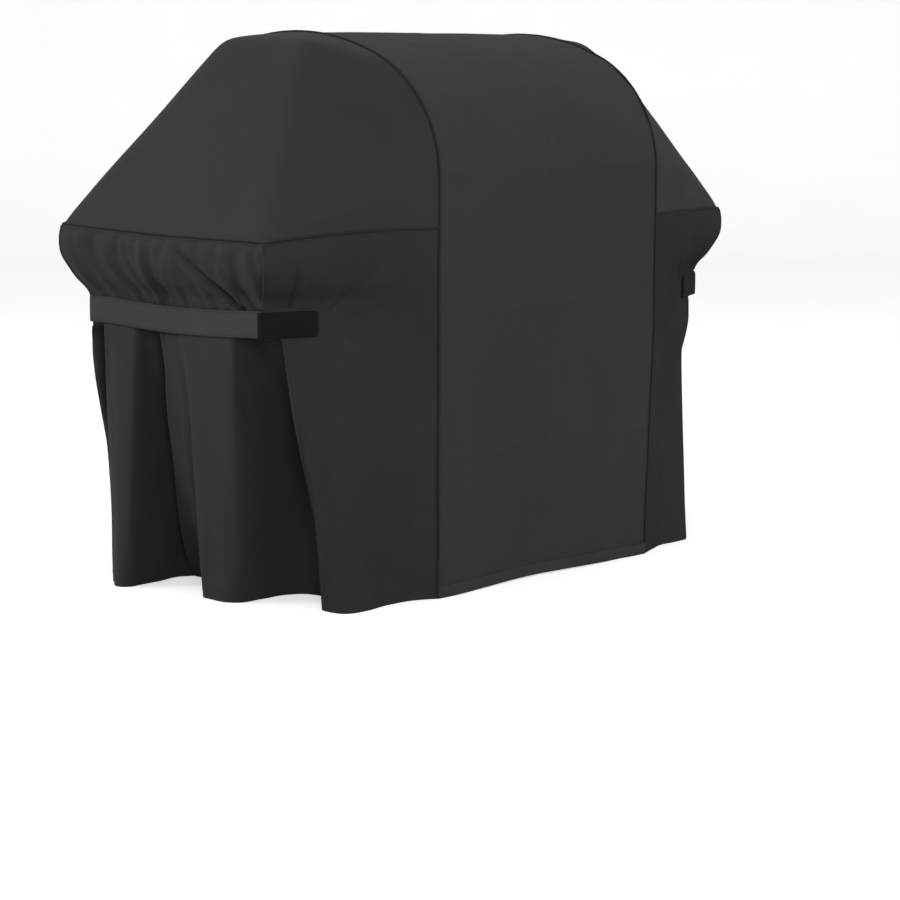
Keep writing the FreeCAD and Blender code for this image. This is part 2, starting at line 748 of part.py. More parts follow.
def strap_band(name, sign, front_fold, back_fold):
    """A slot-shaped section round both fold lines, padded to the strap's width."""
    body = new_body(name)
    bottom = size("strap_height") - size("strap_width") / 2
    sketch = new_sketch(body, name + "_section", "XY_Plane", bottom)
    half_thick = size("strap_thick") / 2
    radius = half_thick.value
    x, front_y = front_fold
    back_y = back_fold[1]
    low_x_side = add_line(sketch, x - radius, front_y, x - radius, back_y)
    back_end = add_arc(sketch, x, back_y, radius, 0, math.pi)
    high_x_side = add_line(sketch, x + radius, back_y, x + radius, front_y)
    front_end = add_arc(sketch, x, front_y, radius, math.pi, 2 * math.pi)
    for constraint in (
        ("Tangent", low_x_side, 2, back_end, 2),
        ("Tangent", back_end, 1, high_x_side, 1),
        ("Tangent", high_x_side, 2, front_end, 2),
        ("Tangent", front_end, 1, low_x_side, 1),
        ("Vertical", low_x_side),
    ):
        sketch.addConstraint(Constraint(*constraint))
    add_named(sketch, Constraint("Radius", back_end, radius), "half_thick", half_thick)
    mid_plane = sign * (size("waist_length") / 2 + size("strap_stand_off"))
    pin(sketch, "DistanceX", back_end, 3, mid_plane, "mid_plane")
    pin(sketch, "DistanceY", back_end, 3, back_y)
    pin(sketch, "DistanceY", front_end, 3, front_y)
    finish_pad(name, body, sketch, size("strap_width"))


def rounded_strip(name, length, width, thick, radius, far_only):
    """A flat strip on edge, X along, Y through, Z across, with corners rounded in X-Z.
    far_only rounds just the two corners at the far end."""
    blank = doc.addObject("Part::Box", name + "_blank")
    drive(blank, "Length", length)
    drive(blank, "Width", thick)
    drive(blank, "Height", width)
    doc.recompute()
    edges = []
    for i, edge in enumerate(blank.Shape.Edges, start=1):
        start, end = [vertex.Point for vertex in edge.Vertexes]
        run = end - start
        if abs(run.y) > 1e-6 and abs(run.x) < 1e-6 and abs(run.z) < 1e-6:
            if not far_only or start.x > length.value / 2:
                edges.append((i, radius, radius))
    fillet = doc.addObject("Part::Fillet", name + "_rounded")
    fillet.Base = blank
    fillet.Edges = edges
    doc.recompute()
    keep(name, fillet)
    return fillet


class StrapFace:
    """The front or back skirt face at the waist, where strips stand beside a fold line."""

    def __init__(self, sign, is_back, fold):
        plan = waist_outline(sign)
        corner, seam = (plan[2], plan[3]) if is_back else (plan[1], plan[0])
        run = math.hypot(seam[0] - corner[0], seam[1] - corner[1])
        self.fold = Vector(fold[0], fold[1], 0)
        self.along = Vector((seam[0] - corner[0]) / run, (seam[1] - corner[1]) / run, 0)
        self.outward = Vector(self.along.y, -self.along.x, 0)
        if (self.outward.y > 0) != is_back:
            self.outward = self.outward * -1

    def place(self, strip, out, start, width):
        """Stand a strip centred on the strap's height: local X along, local Y outwards."""
        x, y = self.along, self.outward
        base = self.fold + x * start + y * out
        # Where X and Y would put local Z downwards, the strip stands from its top.
        up = -1 if x.cross(y).z < 0 else 1
        base_z = dim("strap_height") - up * width / 2
        strip.Placement = FreeCAD.Placement(FreeCAD.Matrix(
            x.x, y.x, 0, base.x,
            x.y, y.y, 0, base.y,
            0, 0, up, base_z,
            0, 0, 0, 1))


def strap_set(side, sign):
    """Band, front tab with its hook tape and loop patch, and back anchor."""
    stand_off = dim("strap_stand_off")
    width, thick = size("strap_width"), size("strap_thick")
    touch_width = size("touch_width")
    half_thick = thick.value / 2
    fold_start = thick / 2 + size("fold_gap")
    # The fold lines stand on the waist's corners, offset to the strap's mid plane.
    front_fold, back_fold = waist_outline(sign, -stand_off)[1:3]
    front = StrapFace(sign, False, front_fold)
    back = StrapFace(sign, True, back_fold)
    strap_band(side + "_strap", sign, front_fold, back_fold)

    tab = rounded_strip(side + "_strap_tab", size("tab_length") - fold_start,
                        width, thick, dim("tab_round"), far_only=True)
    front.place(tab, -half_thick, fold_start.value, width.value)

    hook_start = dim("tab_length") - HOOK_END_GAP - dim("hook_length")
    hook = rounded_strip(side + "_hook_tape", size("hook_length"),
                         touch_width, size("hook_thick"), SMALL_ROUND, far_only=False)
    front.place(hook, -half_thick - HOOK_GAP - dim("hook_thick"), hook_start,
                touch_width.value)

    loop = rounded_strip(side + "_loop_patch", size("loop_length"),
                         touch_width, size("loop_thick"), SMALL_ROUND, far_only=False)
    front.place(loop, -stand_off + LOOP_GAP, hook_start - LOOP_LEAD, touch_width.value)

    anchor = rounded_strip(side + "_strap_anchor", size("anchor_length") - fold_start,
                           width, thick, SMALL_ROUND, far_only=True)
    back.place(anchor, -half_thick, fold_start.value, width.value)


for side, sign in SIDES:
    strap_set(side, sign)

doc.recompute()

# ------------------------------------------------------------------ check and write
os.makedirs("parts", exist_ok=True)
for old in os.listdir("parts"):
    if old.endswith(".step"):
        os.remove(os.path.join("parts", old))
failed = [obj.Name for obj in doc.Objects if "Invalid" in obj.State or "Error" in obj.State]
if failed:
    raise RuntimeError("failed objects: %s" % failed)
for name, obj in parts.items():
    shape = obj.Shape
    if shape.isNull() or not shape.isValid():
        raise RuntimeError("bad shape: " + name)
    if not shape.Solids or shape.Volume <= 0:
        raise RuntimeError("no solid: " + name)
    shape.exportStep("parts/%s.step" % name)
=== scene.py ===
"""Fabric grill cover: an arched centre, a shelf end on each side, and a strap round each end.

Metres. The cover's length runs along X (left is -X), the front is at -Y, the floor is z = 0
and +Z is up. The cloth, cords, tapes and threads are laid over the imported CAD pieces.
"""
import itertools
import math

import bmesh
import bpy
import numpy as np
from mathutils import Matrix, Vector


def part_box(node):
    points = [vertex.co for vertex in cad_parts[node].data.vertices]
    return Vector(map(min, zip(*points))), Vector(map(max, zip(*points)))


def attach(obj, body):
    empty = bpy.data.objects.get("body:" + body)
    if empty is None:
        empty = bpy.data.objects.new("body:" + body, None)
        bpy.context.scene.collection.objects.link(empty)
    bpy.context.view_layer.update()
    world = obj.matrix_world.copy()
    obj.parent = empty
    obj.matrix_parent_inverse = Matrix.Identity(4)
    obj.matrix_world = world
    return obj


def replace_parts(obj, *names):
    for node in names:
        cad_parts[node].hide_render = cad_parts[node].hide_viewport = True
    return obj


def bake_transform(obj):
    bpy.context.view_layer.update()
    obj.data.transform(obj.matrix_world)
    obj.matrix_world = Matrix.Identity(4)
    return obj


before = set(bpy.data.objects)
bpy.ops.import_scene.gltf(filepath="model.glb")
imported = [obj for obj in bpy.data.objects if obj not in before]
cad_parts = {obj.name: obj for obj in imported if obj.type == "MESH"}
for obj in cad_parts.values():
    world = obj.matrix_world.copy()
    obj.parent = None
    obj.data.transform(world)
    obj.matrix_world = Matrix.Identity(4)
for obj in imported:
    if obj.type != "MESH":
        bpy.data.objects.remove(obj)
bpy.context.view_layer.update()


def cad_vertices(name):
    return np.array([v.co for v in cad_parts[name].data.vertices])


# ---------------------------------------------------------------- sizes
CELL = 0.007            # grid spacing of the cloth meshes
THICK = 0.0011          # cloth
TAPE_THICK = 0.0007
BAND_THICK = 0.0020     # strap
HEM_STITCH = 0.020      # height of the stitch row round the hem
MIN_Z = 0.0014          # lowest the skirt cloth may hang

_low, _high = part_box("center_panel")
HALF_DEPTH, TOP = _high.y, _high.z
_low, _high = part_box("right_arch_piping")
HALF_WIDTH = (_low.x + _high.x) / 2     # of the centre panel
_low, _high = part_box("right_shelf_piping")
SHELF_Z = (_low.z + _high.z) / 2        # the seam between shoulder and skirt
_low, _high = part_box("right_shoulder_panel")
HALF_LENGTH = _high.x
_points = cad_vertices("right_shoulder_panel")
HALF_END = float(np.abs(_points[_points[:, 0] > HALF_LENGTH - 1e-4, 1]).max())
_low, _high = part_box("right_strap")
STRAP_X = (_low.x + _high.x) / 2                # its mid plane along the end
STRAP_Y = _high.y - (_high.x - _low.x) / 2      # its fold lines, front and back
STRAP_LOW, STRAP_HIGH = _low.z, _high.z
STRAP_MID = (STRAP_LOW + STRAP_HIGH) / 2
# the cloth it presses: a little taller than the strap, just inside it
WAIST_LOW, WAIST_HIGH = STRAP_LOW - 0.001, STRAP_HIGH + 0.001
WAIST_X, WAIST_Y = STRAP_X - 0.0039, STRAP_Y - 0.0026

# half the arch: an upright wall, a haunch arc and a crown arc
HAUNCH_RADIUS, CROWN_RADIUS, WALL = 0.265, 0.54662, 0.840
HAUNCH_Y = HALF_DEPTH - HAUNCH_RADIUS
CROWN_Z = WALL - math.sqrt((CROWN_RADIUS - HAUNCH_RADIUS) ** 2 - HAUNCH_Y ** 2)
HAUNCH_ANGLE = math.atan2(WALL - CROWN_Z, HAUNCH_Y)
assert abs(CROWN_Z + CROWN_RADIUS - TOP) < 0.001, "the arch no longer matches the CAD"
HAUNCH_ARC = HAUNCH_RADIUS * HAUNCH_ANGLE
HALF_ARCH = WALL + HAUNCH_ARC + CROWN_RADIUS * (math.pi / 2 - HAUNCH_ANGLE)

UP = np.array([0, 0, 1.0])
FORWARD = np.array([0.0, -1.0, 0.0])
CURVE_STEPS = 30        # points per span of a smooth outline

# ---------------------------------------------------------------- small maths
LATTICE = np.random.RandomState(11).uniform(-1, 1, (32, 32, 32))


def noise3(points, scale, seed=0):
    """Smooth noise in about -1..1 at points (..., 3); scale is one number or three."""
    q = np.asarray(points, float) / np.asarray(scale, float) + seed * 7.31 + 100.0
    cell = np.floor(q).astype(int)
    part = q - cell
    fade = part * part * part * (part * (part * 6 - 15) + 10)
    corners, weights = (cell & 31, (cell + 1) & 31), (1 - fade, fade)
    total = 0
    for i, j, k in itertools.product((0, 1), repeat=3):
        weight = weights[i][..., 0] * weights[j][..., 1] * weights[k][..., 2]
        total = total + weight * LATTICE[corners[i][..., 0], corners[j][..., 1], corners[k][..., 2]]
    return total


def noise1(x, scale, seed=0):
    x = np.asarray(x, float)
    line = np.stack([x / scale, np.full_like(x, seed * 1.7), np.full_like(x, seed * 3.1)], -1)
    return noise3(line, 1.0, seed)


def ease(x, start=0.0, end=1.0):
    """Smooth step from 0 at start to 1 at end."""
    t = np.clip((np.asarray(x, float) - start) / (end - start), 0, 1)
    return t * t * (3 - 2 * t)


def bell(x):
    return np.exp(-(x ** 2))


def unit(vectors):
    vectors = np.asarray(vectors, float)
    return vectors / np.maximum(np.linalg.norm(vectors, axis=-1, keepdims=True), 1e-9)


def hermite(t, start, end, slope0, slope1):
    return ((2 * t**3 - 3 * t**2 + 1) * start + (t**3 - 2 * t**2 + t) * slope0
            + (-2 * t**3 + 3 * t**2) * end + (t**3 - t**2) * slope1)


def curve(table, x):
    """Smooth interpolation through rows (x, a, b, ...), x rising or falling."""
    table = np.array(table, float)
    if table[0, 0] > table[-1, 0]:
        table = table[::-1]
    knots, values = table[:, 0], table[:, 1:]
    slopes = np.gradient(values, knots, axis=0)
    chords = np.diff(values, axis=0) / np.diff(knots)[:, None]
    for k in range(len(knots)):                       # keep it from overshooting
        before, after = chords[max(k - 1, 0)], chords[min(k, len(chords) - 1)]
        limit = 3 * np.minimum(np.abs(before), np.abs(after))
        slopes[k] = np.where(before * after > 0, np.clip(slopes[k], -limit, limit), slopes[k] * 0.35)
    x = np.clip(np.asarray(x, float), knots[0], knots[-1])
    k = np.clip(np.searchsorted(knots, x, side="right") - 1, 0, len(knots) - 2)
    span = (knots[k + 1] - knots[k])[..., None]
    t = (x - knots[k])[..., None] / span
    return hermite(t, values[k], values[k + 1], span * slopes[k], span * slopes[k + 1])


def catmull(points):
    """A dense smooth line through points, CURVE_STEPS to a span."""
    points = np.array(points, float)
    padded = np.vstack([2 * points[0] - points[1], points, 2 * points[-1] - points[-2]])
    t = np.linspace(0, 1, CURVE_STEPS, endpoint=False)[:, None]
    spans = []
    for i in range(1, len(padded) - 2):
        a, b, c, d = padded[i - 1:i + 3]
        k0, k1, k2 = (max(np.linalg.norm(v), 1e-6) ** 0.5 for v in (b - a, c - b, d - c))
        slope0 = (b - a) / k0 - (c - a) / (k0 + k1) + (c - b) / k1
        slope1 = (c - b) / k1 - (d - b) / (k1 + k2) + (d - c) / k2
        spans.append(hermite(t, b, c, slope0 * k1, slope1 * k1))
    return np.vstack(spans + [points[-1:]])


def arc_length(points):
    steps = np.linalg.norm(np.diff(points, axis=0), axis=1)
    return np.concatenate([[0], np.cumsum(steps)])


def at(position, along, values):
    """Rows of values, given at the distances 'along', read off at other distances."""
    return np.stack([np.interp(position, along, column) for column in np.asarray(values).T], -1)


def resample(points, step):
    along = arc_length(points)
    count = max(2, int(round(along[-1] / step)) + 1)
    return at(np.linspace(0, along[-1], count), along, points)


def normals(grid):
    """Unit normals of a grid (rows, columns, 3): across the columns, then down the rows."""
    normal = np.cross(np.gradient(grid, axis=1), np.gradient(grid, axis=0))
    length = np.linalg.norm(normal, axis=-1, keepdims=True)
    bad = length[..., 0] < 1e-12
    normal = normal / np.maximum(length, 1e-12)
    if bad.any():                                     # borrow the nearest good normal
        good = np.argwhere(~bad)
        for r, c in np.argwhere(bad):
            near = good[np.argmin((good[:, 0] - r) ** 2 + (good[:, 1] - c) ** 2)]
            normal[r, c] = normal[near[0], near[1]]
    return normal


def orient(grid, outward):
    """Flips a grid's columns if its normals point away from the outward vectors."""
    return grid if (normals(grid) * outward).sum() > 0 else grid[:, ::-1]


def refined(length, cell, near=(0.0013, 0.003, 0.0055, 0.009)):
    """Positions 0..length: fine by both ends, even between."""
    fine = [v for v in near if v < length * 0.3]
    count = max(2, int(round((length - 2 * fine[-1]) / cell)))
    middle = list(np.linspace(fine[-1], length - fine[-1], count + 1)[1:-1])
    return np.array([0.0] + fine + middle + [length - v for v in reversed(fine)] + [length])


# ---------------------------------------------------------------- mesh makers
def make(name, verts, faces, mats, face_mats, uv, weld=False):
    mesh = bpy.data.meshes.new(name)
    verts = np.asarray(verts, np.float32)
    sizes = np.array([len(f) for f in faces], np.int32)
    mesh.vertices.add(len(verts))
    mesh.vertices.foreach_set("co", verts.ravel())
    flat = np.fromiter((i for f in faces for i in f), np.int32, int(sizes.sum()))
    mesh.loops.add(len(flat))
    mesh.loops.foreach_set("vertex_index", flat)
    mesh.polygons.add(len(sizes))
    starts = np.concatenate([[0], np.cumsum(sizes)[:-1]]).astype(np.int32)
    mesh.polygons.foreach_set("loop_start", starts)
    mesh.update(calc_edges=True)
    for mat in mats:
        mesh.materials.append(mat)
    if face_mats is not None:
        mesh.polygons.foreach_set("material_index", np.asarray(face_mats, np.int32))
    layer = mesh.uv_layers.new(name="UVMap")
    loops = np.zeros(len(mesh.loops), np.int32)
    mesh.loops.foreach_get("vertex_index", loops)
    layer.data.foreach_set("uv", np.asarray(uv, np.float32)[loops].ravel())
    mesh.polygons.foreach_set("use_smooth", np.full(len(mesh.polygons), True))
    mesh.update()
    part = bpy.data.objects.new(name, mesh)
    bpy.context.scene.collection.objects.link(part)
    if weld:
        bm = bmesh.new()
        bm.from_mesh(mesh)
        bmesh.ops.remove_doubles(bm, verts=bm.verts, dist=2e-6)
        bmesh.ops.dissolve_degenerate(bm, edges=bm.edges, dist=1e-7)
        bmesh.ops.recalc_face_normals(bm, faces=bm.faces)
        bm.to_mesh(mesh)
        bm.free()
    return part


def place(part, node, body="cover"):
    """Hangs a part on its body's empty and hides the CAD piece it stands for."""
    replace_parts(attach(part, body), node)


class Bag:
    """Collects pieces of mesh, to be made into one object."""

    def __init__(self):
        self.verts, self.faces, self.mats, self.uv, self.count = [], [], [], [], 0

    def add(self, verts, faces, mat=0, uv=None):
        verts = np.asarray(verts, float).reshape(-1, 3)
        self.verts.append(verts)
        self.faces += [[int(i) + self.count for i in face] for face in faces]
        self.mats += [mat] * len(faces)
        self.uv.append(verts[:, [0, 2]] if uv is None else np.asarray(uv, float).reshape(-1, 2))
        self.count += len(verts)

    def build(self, name, mats):
        return make(name, np.vstack(self.verts), self.faces, mats, self.mats, np.vstack(self.uv))


def sheet_arrays(outer, thick):
    """A closed sheet inside an outer grid: vertices, faces, face material (0 out, 1 in), UVs."""
    rows, cols = outer.shape[:2]
    offset = rows * cols
    inner = outer - normals(outer) * thick
    index = np.arange(offset).reshape(rows, cols)
    a, b, c, d = index[:-1, :-1], index[:-1, 1:], index[1:, 1:], index[1:, :-1]
    # each cell splits along its shorter diagonal, so that slanting creases stay clean
    flat = outer.reshape(-1, 3)
    turn = np.linalg.norm(flat[b] - flat[d], axis=-1) < np.linalg.norm(flat[a] - flat[c], axis=-1)

    def cells(turned, straight):
        return np.where(turn[..., None], np.stack(turned, -1), np.stack(straight, -1)).reshape(-1, 4)
    outside = cells([b, c, d, a], [a, b, c, d])
    inside = cells([d, c, b, a], [a, d, c, b]) + offset
    edges = ((index[0, 1:], index[0, :-1]), (index[-1, :-1], index[-1, 1:]),
             (index[:-1, 0], index[1:, 0]), (index[1:, -1], index[:-1, -1]))
    rim = np.vstack([np.stack([p, q, q + offset, p + offset], -1) for p, q in edges])
    mats = np.repeat([0, 1, 0], [len(outside), len(inside), len(rim)])
    across = np.cumsum(np.linalg.norm(np.diff(outer, axis=1), axis=-1), axis=1)
    down = np.cumsum(np.linalg.norm(np.diff(outer, axis=0), axis=-1), axis=0)
    uv = np.stack([np.concatenate([np.zeros((rows, 1)), across], 1),
                   np.concatenate([np.zeros((1, cols)), down], 0)], -1)
    return (np.vstack([flat, inner.reshape(-1, 3)]), np.vstack([outside, inside, rim]), mats,
            np.vstack([uv.reshape(-1, 2)] * 2))


def sheet(name, grid, mats, weld=False):
    verts, faces, face_mats, uv = sheet_arrays(grid, THICK)
    return make(name, verts, faces, mats, face_mats, uv, weld)


def hemmed(grid, heights, radius=0.0013, turn=0.022):
    """Adds a turned hem after the last row, on the side the normals point away from.

    heights holds the height of each row, and turn is how far the cloth runs back up.
    """
    normal = normals(grid)
    down = unit(grid[-1] - grid[-2])
    rows = []
    for angle in np.linspace(0, math.pi, 6)[1:]:
        rows.append(grid[-1] - normal[-1] * radius * (1 - math.cos(angle))
                    + down * radius * math.sin(angle))
    k = 2
    while k < len(grid) and heights[-k] - heights[-1] <= turn + 1e-6:
        rows.append(grid[-k] - normal[-k] * 2 * radius)
        k += 1
    rows.append(rows[-1] + (rows[-1] - rows[-2]) * 0.15)
    return np.concatenate([grid, np.array(rows)], 0)


def ring(centre, radius, side_axis, up_axis, sides, phase=0.0):
    """Points round each centre, in the plane of the two axes."""
    angle = (np.linspace(0, 2 * math.pi, sides, endpoint=False) + phase)[:, None]
    return centre[:, None] + radius * (np.cos(angle) * side_axis[..., None, :]
                                       + np.sin(angle) * up_axis[..., None, :])


def ring_quads(index):
    """Quads between successive rings of vertex numbers (..., rings, sides)."""
    after = np.roll(index, -1, axis=-1)
    quads = [index[..., :-1, :], after[..., :-1, :], after[..., 1:, :], index[..., 1:, :]]
    return np.stack(quads, -1).reshape(-1, 4).tolist()


def capped_faces(rings, sides):
    index = np.arange(rings * sides).reshape(rings, sides)
    return ring_quads(index) + [list(index[0][::-1]), list(index[-1])]


def tube_arrays(path, radius, sides=10, start=(1, 0, 0), wobble=0.10):
    """A cord along a path; start crossed with the first tangent begins its frame."""
    path = np.asarray(path, float)
    tangent = unit(np.gradient(path, axis=0))
    side_axis = np.zeros_like(path)
    axis = np.cross(tangent[0], start)
    for i in range(len(path)):
        axis = unit(axis - tangent[i] * (axis @ tangent[i]))
        side_axis[i] = axis
    along = arc_length(path)
    radii = radius * (1 + wobble * noise1(along, 0.006, 5))
    points = ring(path, radii[:, None, None], side_axis, np.cross(tangent, side_axis), sides)
    angle = np.linspace(0, 2 * math.pi, sides, endpoint=False)
    uv = np.stack(np.broadcast_arrays(along[:, None], angle[None] * radius), -1)
    return points.reshape(-1, 3), capped_faces(len(path), sides), uv.reshape(-1, 2)


# one stitch: (share of its length, height in thread radii, thickness)
STITCH = [(0.0, -1.3, 0.75), (0.16, 0.1, 1.0), (0.5, 0.35, 1.05), (0.84, 0.1, 1.0), (1.0, -1.3, 0.75)]
STITCH_SIDES = 5
STITCH_LIFT = 0.0001


def add_stitches(bag, path, outward, mat=0, pitch=0.0050, length=0.0036, radius=0.00042):
    """Stitches along a path on a surface: each rises out of the cloth, runs and dips back."""
    along = arc_length(path)
    count = int(along[-1] / pitch)
    start = (np.arange(count) + 0.5) * (along[-1] / count) - length / 2
    rings = []
    for share, height, thickness in STITCH:
        spot = np.clip(start + share * length, 0, along[-1])
        up_axis = unit(at(spot, along, outward))
        tangent = unit(at(np.clip(spot + 0.0005, 0, along[-1]), along, path)
                       - at(np.clip(spot - 0.0005, 0, along[-1]), along, path))
        centre = at(spot, along, path) + up_axis * (height * radius + STITCH_LIFT)
        side_axis = unit(np.cross(up_axis, tangent))
        rings.append(ring(centre, radius * thickness, side_axis, up_axis, STITCH_SIDES))
    index = np.arange(count * len(STITCH) * STITCH_SIDES).reshape(count, len(STITCH), STITCH_SIDES)
    faces = ring_quads(index) + index[:, 0, ::-1].tolist() + index[:, -1].tolist()
    bag.add(np.stack(rings, 1), faces, mat)


def grid_line(grid, rows, cols, normal):
    """Points and normals of a grid along fractional rows and columns."""
    rows, cols = np.broadcast_arrays(np.asarray(rows, float), np.asarray(cols, float))
    rows = np.clip(rows, 0, grid.shape[0] - 1.001)
    cols = np.clip(cols, 0, grid.shape[1] - 1.001)
    i, j = rows.astype(int), cols.astype(int)
    a, b = (rows - i)[:, None], (cols - j)[:, None]

    def mix(values):
        return ((values[i, j] * (1 - a) + values[i + 1, j] * a) * (1 - b)
                + (values[i, j + 1] * (1 - a) + values[i + 1, j + 1] * a) * b)
    return mix(grid), unit(mix(normal))


# ---------------------------------------------------------------- materials
class Shader:
    """A material with one Principled surface, and short ways to build its nodes."""

    def __init__(self, name):
        self.material = bpy.data.materials.new(name)
        self.material.use_nodes = True
        self.tree = self.material.node_tree
        self.tree.nodes.clear()
        output = self.node("ShaderNodeOutputMaterial")
        self.surface = self.node("ShaderNodeBsdfPrincipled")
        self.tree.links.new(self.surface.outputs[0], output.inputs[0])

    def node(self, kind, **props):
        node = self.tree.nodes.new(kind)
        for key, value in props.items():
            setattr(node, key, value)
        return node

    def put(self, socket, value):
        if isinstance(value, bpy.types.NodeSocket):
            self.tree.links.new(value, socket)
        else:
            socket.default_value = value

    def set(self, **values):
        """Sets surface inputs; Base_Color stands for "Base Color"."""
        for key, value in values.items():
            self.put(self.surface.inputs[key.replace("_", " ")], value)

    def coords(self):
        outputs = self.node("ShaderNodeTexCoord").outputs
        return outputs["UV"], outputs["Object"]

    def split(self, vector):
        node = self.node("ShaderNodeSeparateXYZ")
        self.put(node.inputs[0], vector)
        return node.outputs[0], node.outputs[1]

    def calc(self, operation, *values):
        node = self.node("ShaderNodeMath", operation=operation)
        for socket, value in zip(node.inputs, values):
            self.put(socket, value)
        return node.outputs[0]

    def ripple(self, value, factor):
        """abs(sin(value * factor))"""
        return self.calc("ABSOLUTE", self.calc("SINE", self.calc("MULTIPLY", value, factor)))

    def noise(self, vector, scale, detail=3.0, rough=0.5, distortion=0.0):
        node = self.node("ShaderNodeTexNoise")
        self.put(node.inputs["Vector"], vector)
        node.inputs["Scale"].default_value = scale
        node.inputs["Detail"].default_value = detail
        node.inputs["Roughness"].default_value = rough
        node.inputs["Distortion"].default_value = distortion
        return node.outputs[0]

    def remap(self, value, span=(0.3, 0.7), to=(0, 1)):
        node = self.node("ShaderNodeMapRange")
        self.put(node.inputs["Value"], value)
        for key, limit in zip(("From Min", "From Max", "To Min", "To Max"), (*span, *to)):
            node.inputs[key].default_value = limit
        return node.outputs["Result"]

    def mix(self, factor, first, second):
        node = self.node("ShaderNodeMix", data_type="RGBA")
        self.put(node.inputs[0], factor)
        self.put(node.inputs[6], first)
        self.put(node.inputs[7], second)
        return node.outputs[2]

    def bump(self, height, distance, strength, under=None):
        node = self.node("ShaderNodeBump")
        node.inputs["Strength"].default_value = strength
        node.inputs["Distance"].default_value = distance
        self.put(node.inputs["Height"], height)
        if under is not None:
            self.put(node.inputs["Normal"], under)
        return node.outputs[0]


def grey(value, tint=(1, 1, 1)):
    return (value * tint[0], value * tint[1], value * tint[2], 1.0)


COOL, WARM = (0.99, 1.0, 1.02), (1.02, 1.0, 0.97)
YARN = 0.00055          # yarn spacing


def woven(name, tone, yarn=YARN, rough=0.66, sheen=0.05, depth=0.00022, spec=0.16, dust=0.35):
    """Plain weave: warp and weft, uneven yarns, soft mottling, rubbed edges, painted shade in the
    hollows.
    """
    g = Shader(name)
    uv, place_ = g.coords()
    u, v = g.split(uv)
    warp, weft = g.calc("MULTIPLY", u, 1.0 / yarn), g.calc("MULTIPLY", v, 1.0 / yarn)
    warp_round, weft_round = g.ripple(warp, math.pi), g.ripple(weft, math.pi)
    checks = g.calc("ADD", g.calc("FLOOR", warp), g.calc("FLOOR", weft))
    over = g.calc("LESS_THAN", g.calc("ABSOLUTE", g.calc("MODULO", checks, 2.0)), 0.5)
    weave = g.calc("MAXIMUM",
                   g.calc("MULTIPLY", warp_round, g.calc("MULTIPLY_ADD", over, 0.6, 0.4)),
                   g.calc("MULTIPLY", weft_round, g.calc("MULTIPLY_ADD", over, -0.6, 1.0)))
    slub = g.noise(uv, scale=900.0, detail=2.0, rough=0.6)
    big = g.noise(place_, scale=2.3, detail=4.0, rough=0.55)
    mid = g.noise(place_, scale=16.0, detail=4.0, rough=0.6, distortion=0.4)
    fine = g.noise(place_, scale=140.0, detail=3.0, rough=0.6)
    pointiness = g.node("ShaderNodeNewGeometry").outputs["Pointiness"]
    edge = g.remap(pointiness, span=(0.505, 0.56))
    hollow_shade = g.remap(pointiness, span=(0.495, 0.44))
    # cloud, mottle, gaps between yarns, rubbed edges, painted shade in the hollows
    base = g.mix(g.remap(big), grey(tone * 0.84, COOL), grey(tone * 1.16, COOL))
    base = g.mix(g.remap(mid, span=(0.35, 0.75), to=(0, 0.35)), base, grey(tone * 1.28, COOL))
    gaps = g.calc("MULTIPLY", g.remap(weave, span=(0.15, 0.7), to=(1, 0)), 0.45)
    base = g.mix(gaps, base, grey(tone * 0.38, COOL))
    rubbed = g.calc("MULTIPLY", edge, g.remap(fine, to=(0.1, dust)))
    base = g.mix(rubbed, base, grey(tone * 1.55, WARM))
    # painted shade: the colour is darkened in the concave hollows of the folds
    base = g.mix(g.calc("MULTIPLY", hollow_shade, 0.5), base, grey(tone * 0.45, COOL))
    roughness = g.calc("ADD", g.remap(mid, to=(rough - 0.05, rough + 0.06)),
                       g.calc("MULTIPLY", g.remap(fine, to=(-1, 1)), 0.03))
    normal = g.bump(g.calc("MULTIPLY_ADD", slub, 0.35, weave), distance=depth, strength=0.75)
    normal = g.bump(fine, distance=0.0006, strength=0.22, under=normal)
    normal = g.bump(mid, distance=0.004, strength=0.10, under=normal)
    g.set(Base_Color=base, Roughness=roughness, Specular_IOR_Level=spec, Sheen_Weight=sheen,
          Sheen_Roughness=0.45, Normal=normal)
    return g.material


def coated(name, tone, rough=0.5):
    """The inside of the cloth: a thin rubbery coat with the weave showing through, and scuffs."""
    g = Shader(name)
    uv, place_ = g.coords()
    big = g.noise(place_, scale=5.0, detail=5.0, rough=0.6)
    fine = g.noise(place_, scale=260.0, detail=2.0, rough=0.5)
    u, v = g.split(uv)
    weave = g.calc("MAXIMUM", g.ripple(u, math.pi / YARN), g.ripple(v, math.pi / YARN))
    base = g.mix(g.remap(big), grey(tone * 0.85), grey(tone * 1.2))
    scuffs = g.noise(place_, scale=34.0, detail=6.0, rough=0.75, distortion=1.2)
    base = g.mix(g.remap(scuffs, span=(0.62, 0.75), to=(0, 0.3)), base, grey(tone * 2.0))
    normal = g.bump(weave, distance=0.00008, strength=0.5)
    normal = g.bump(fine, distance=0.0005, strength=0.3, under=normal)
    g.set(Base_Color=base, Roughness=g.remap(big, to=(rough - 0.08, rough + 0.1)),
          Specular_IOR_Level=0.4, Normal=normal)
    return g.material


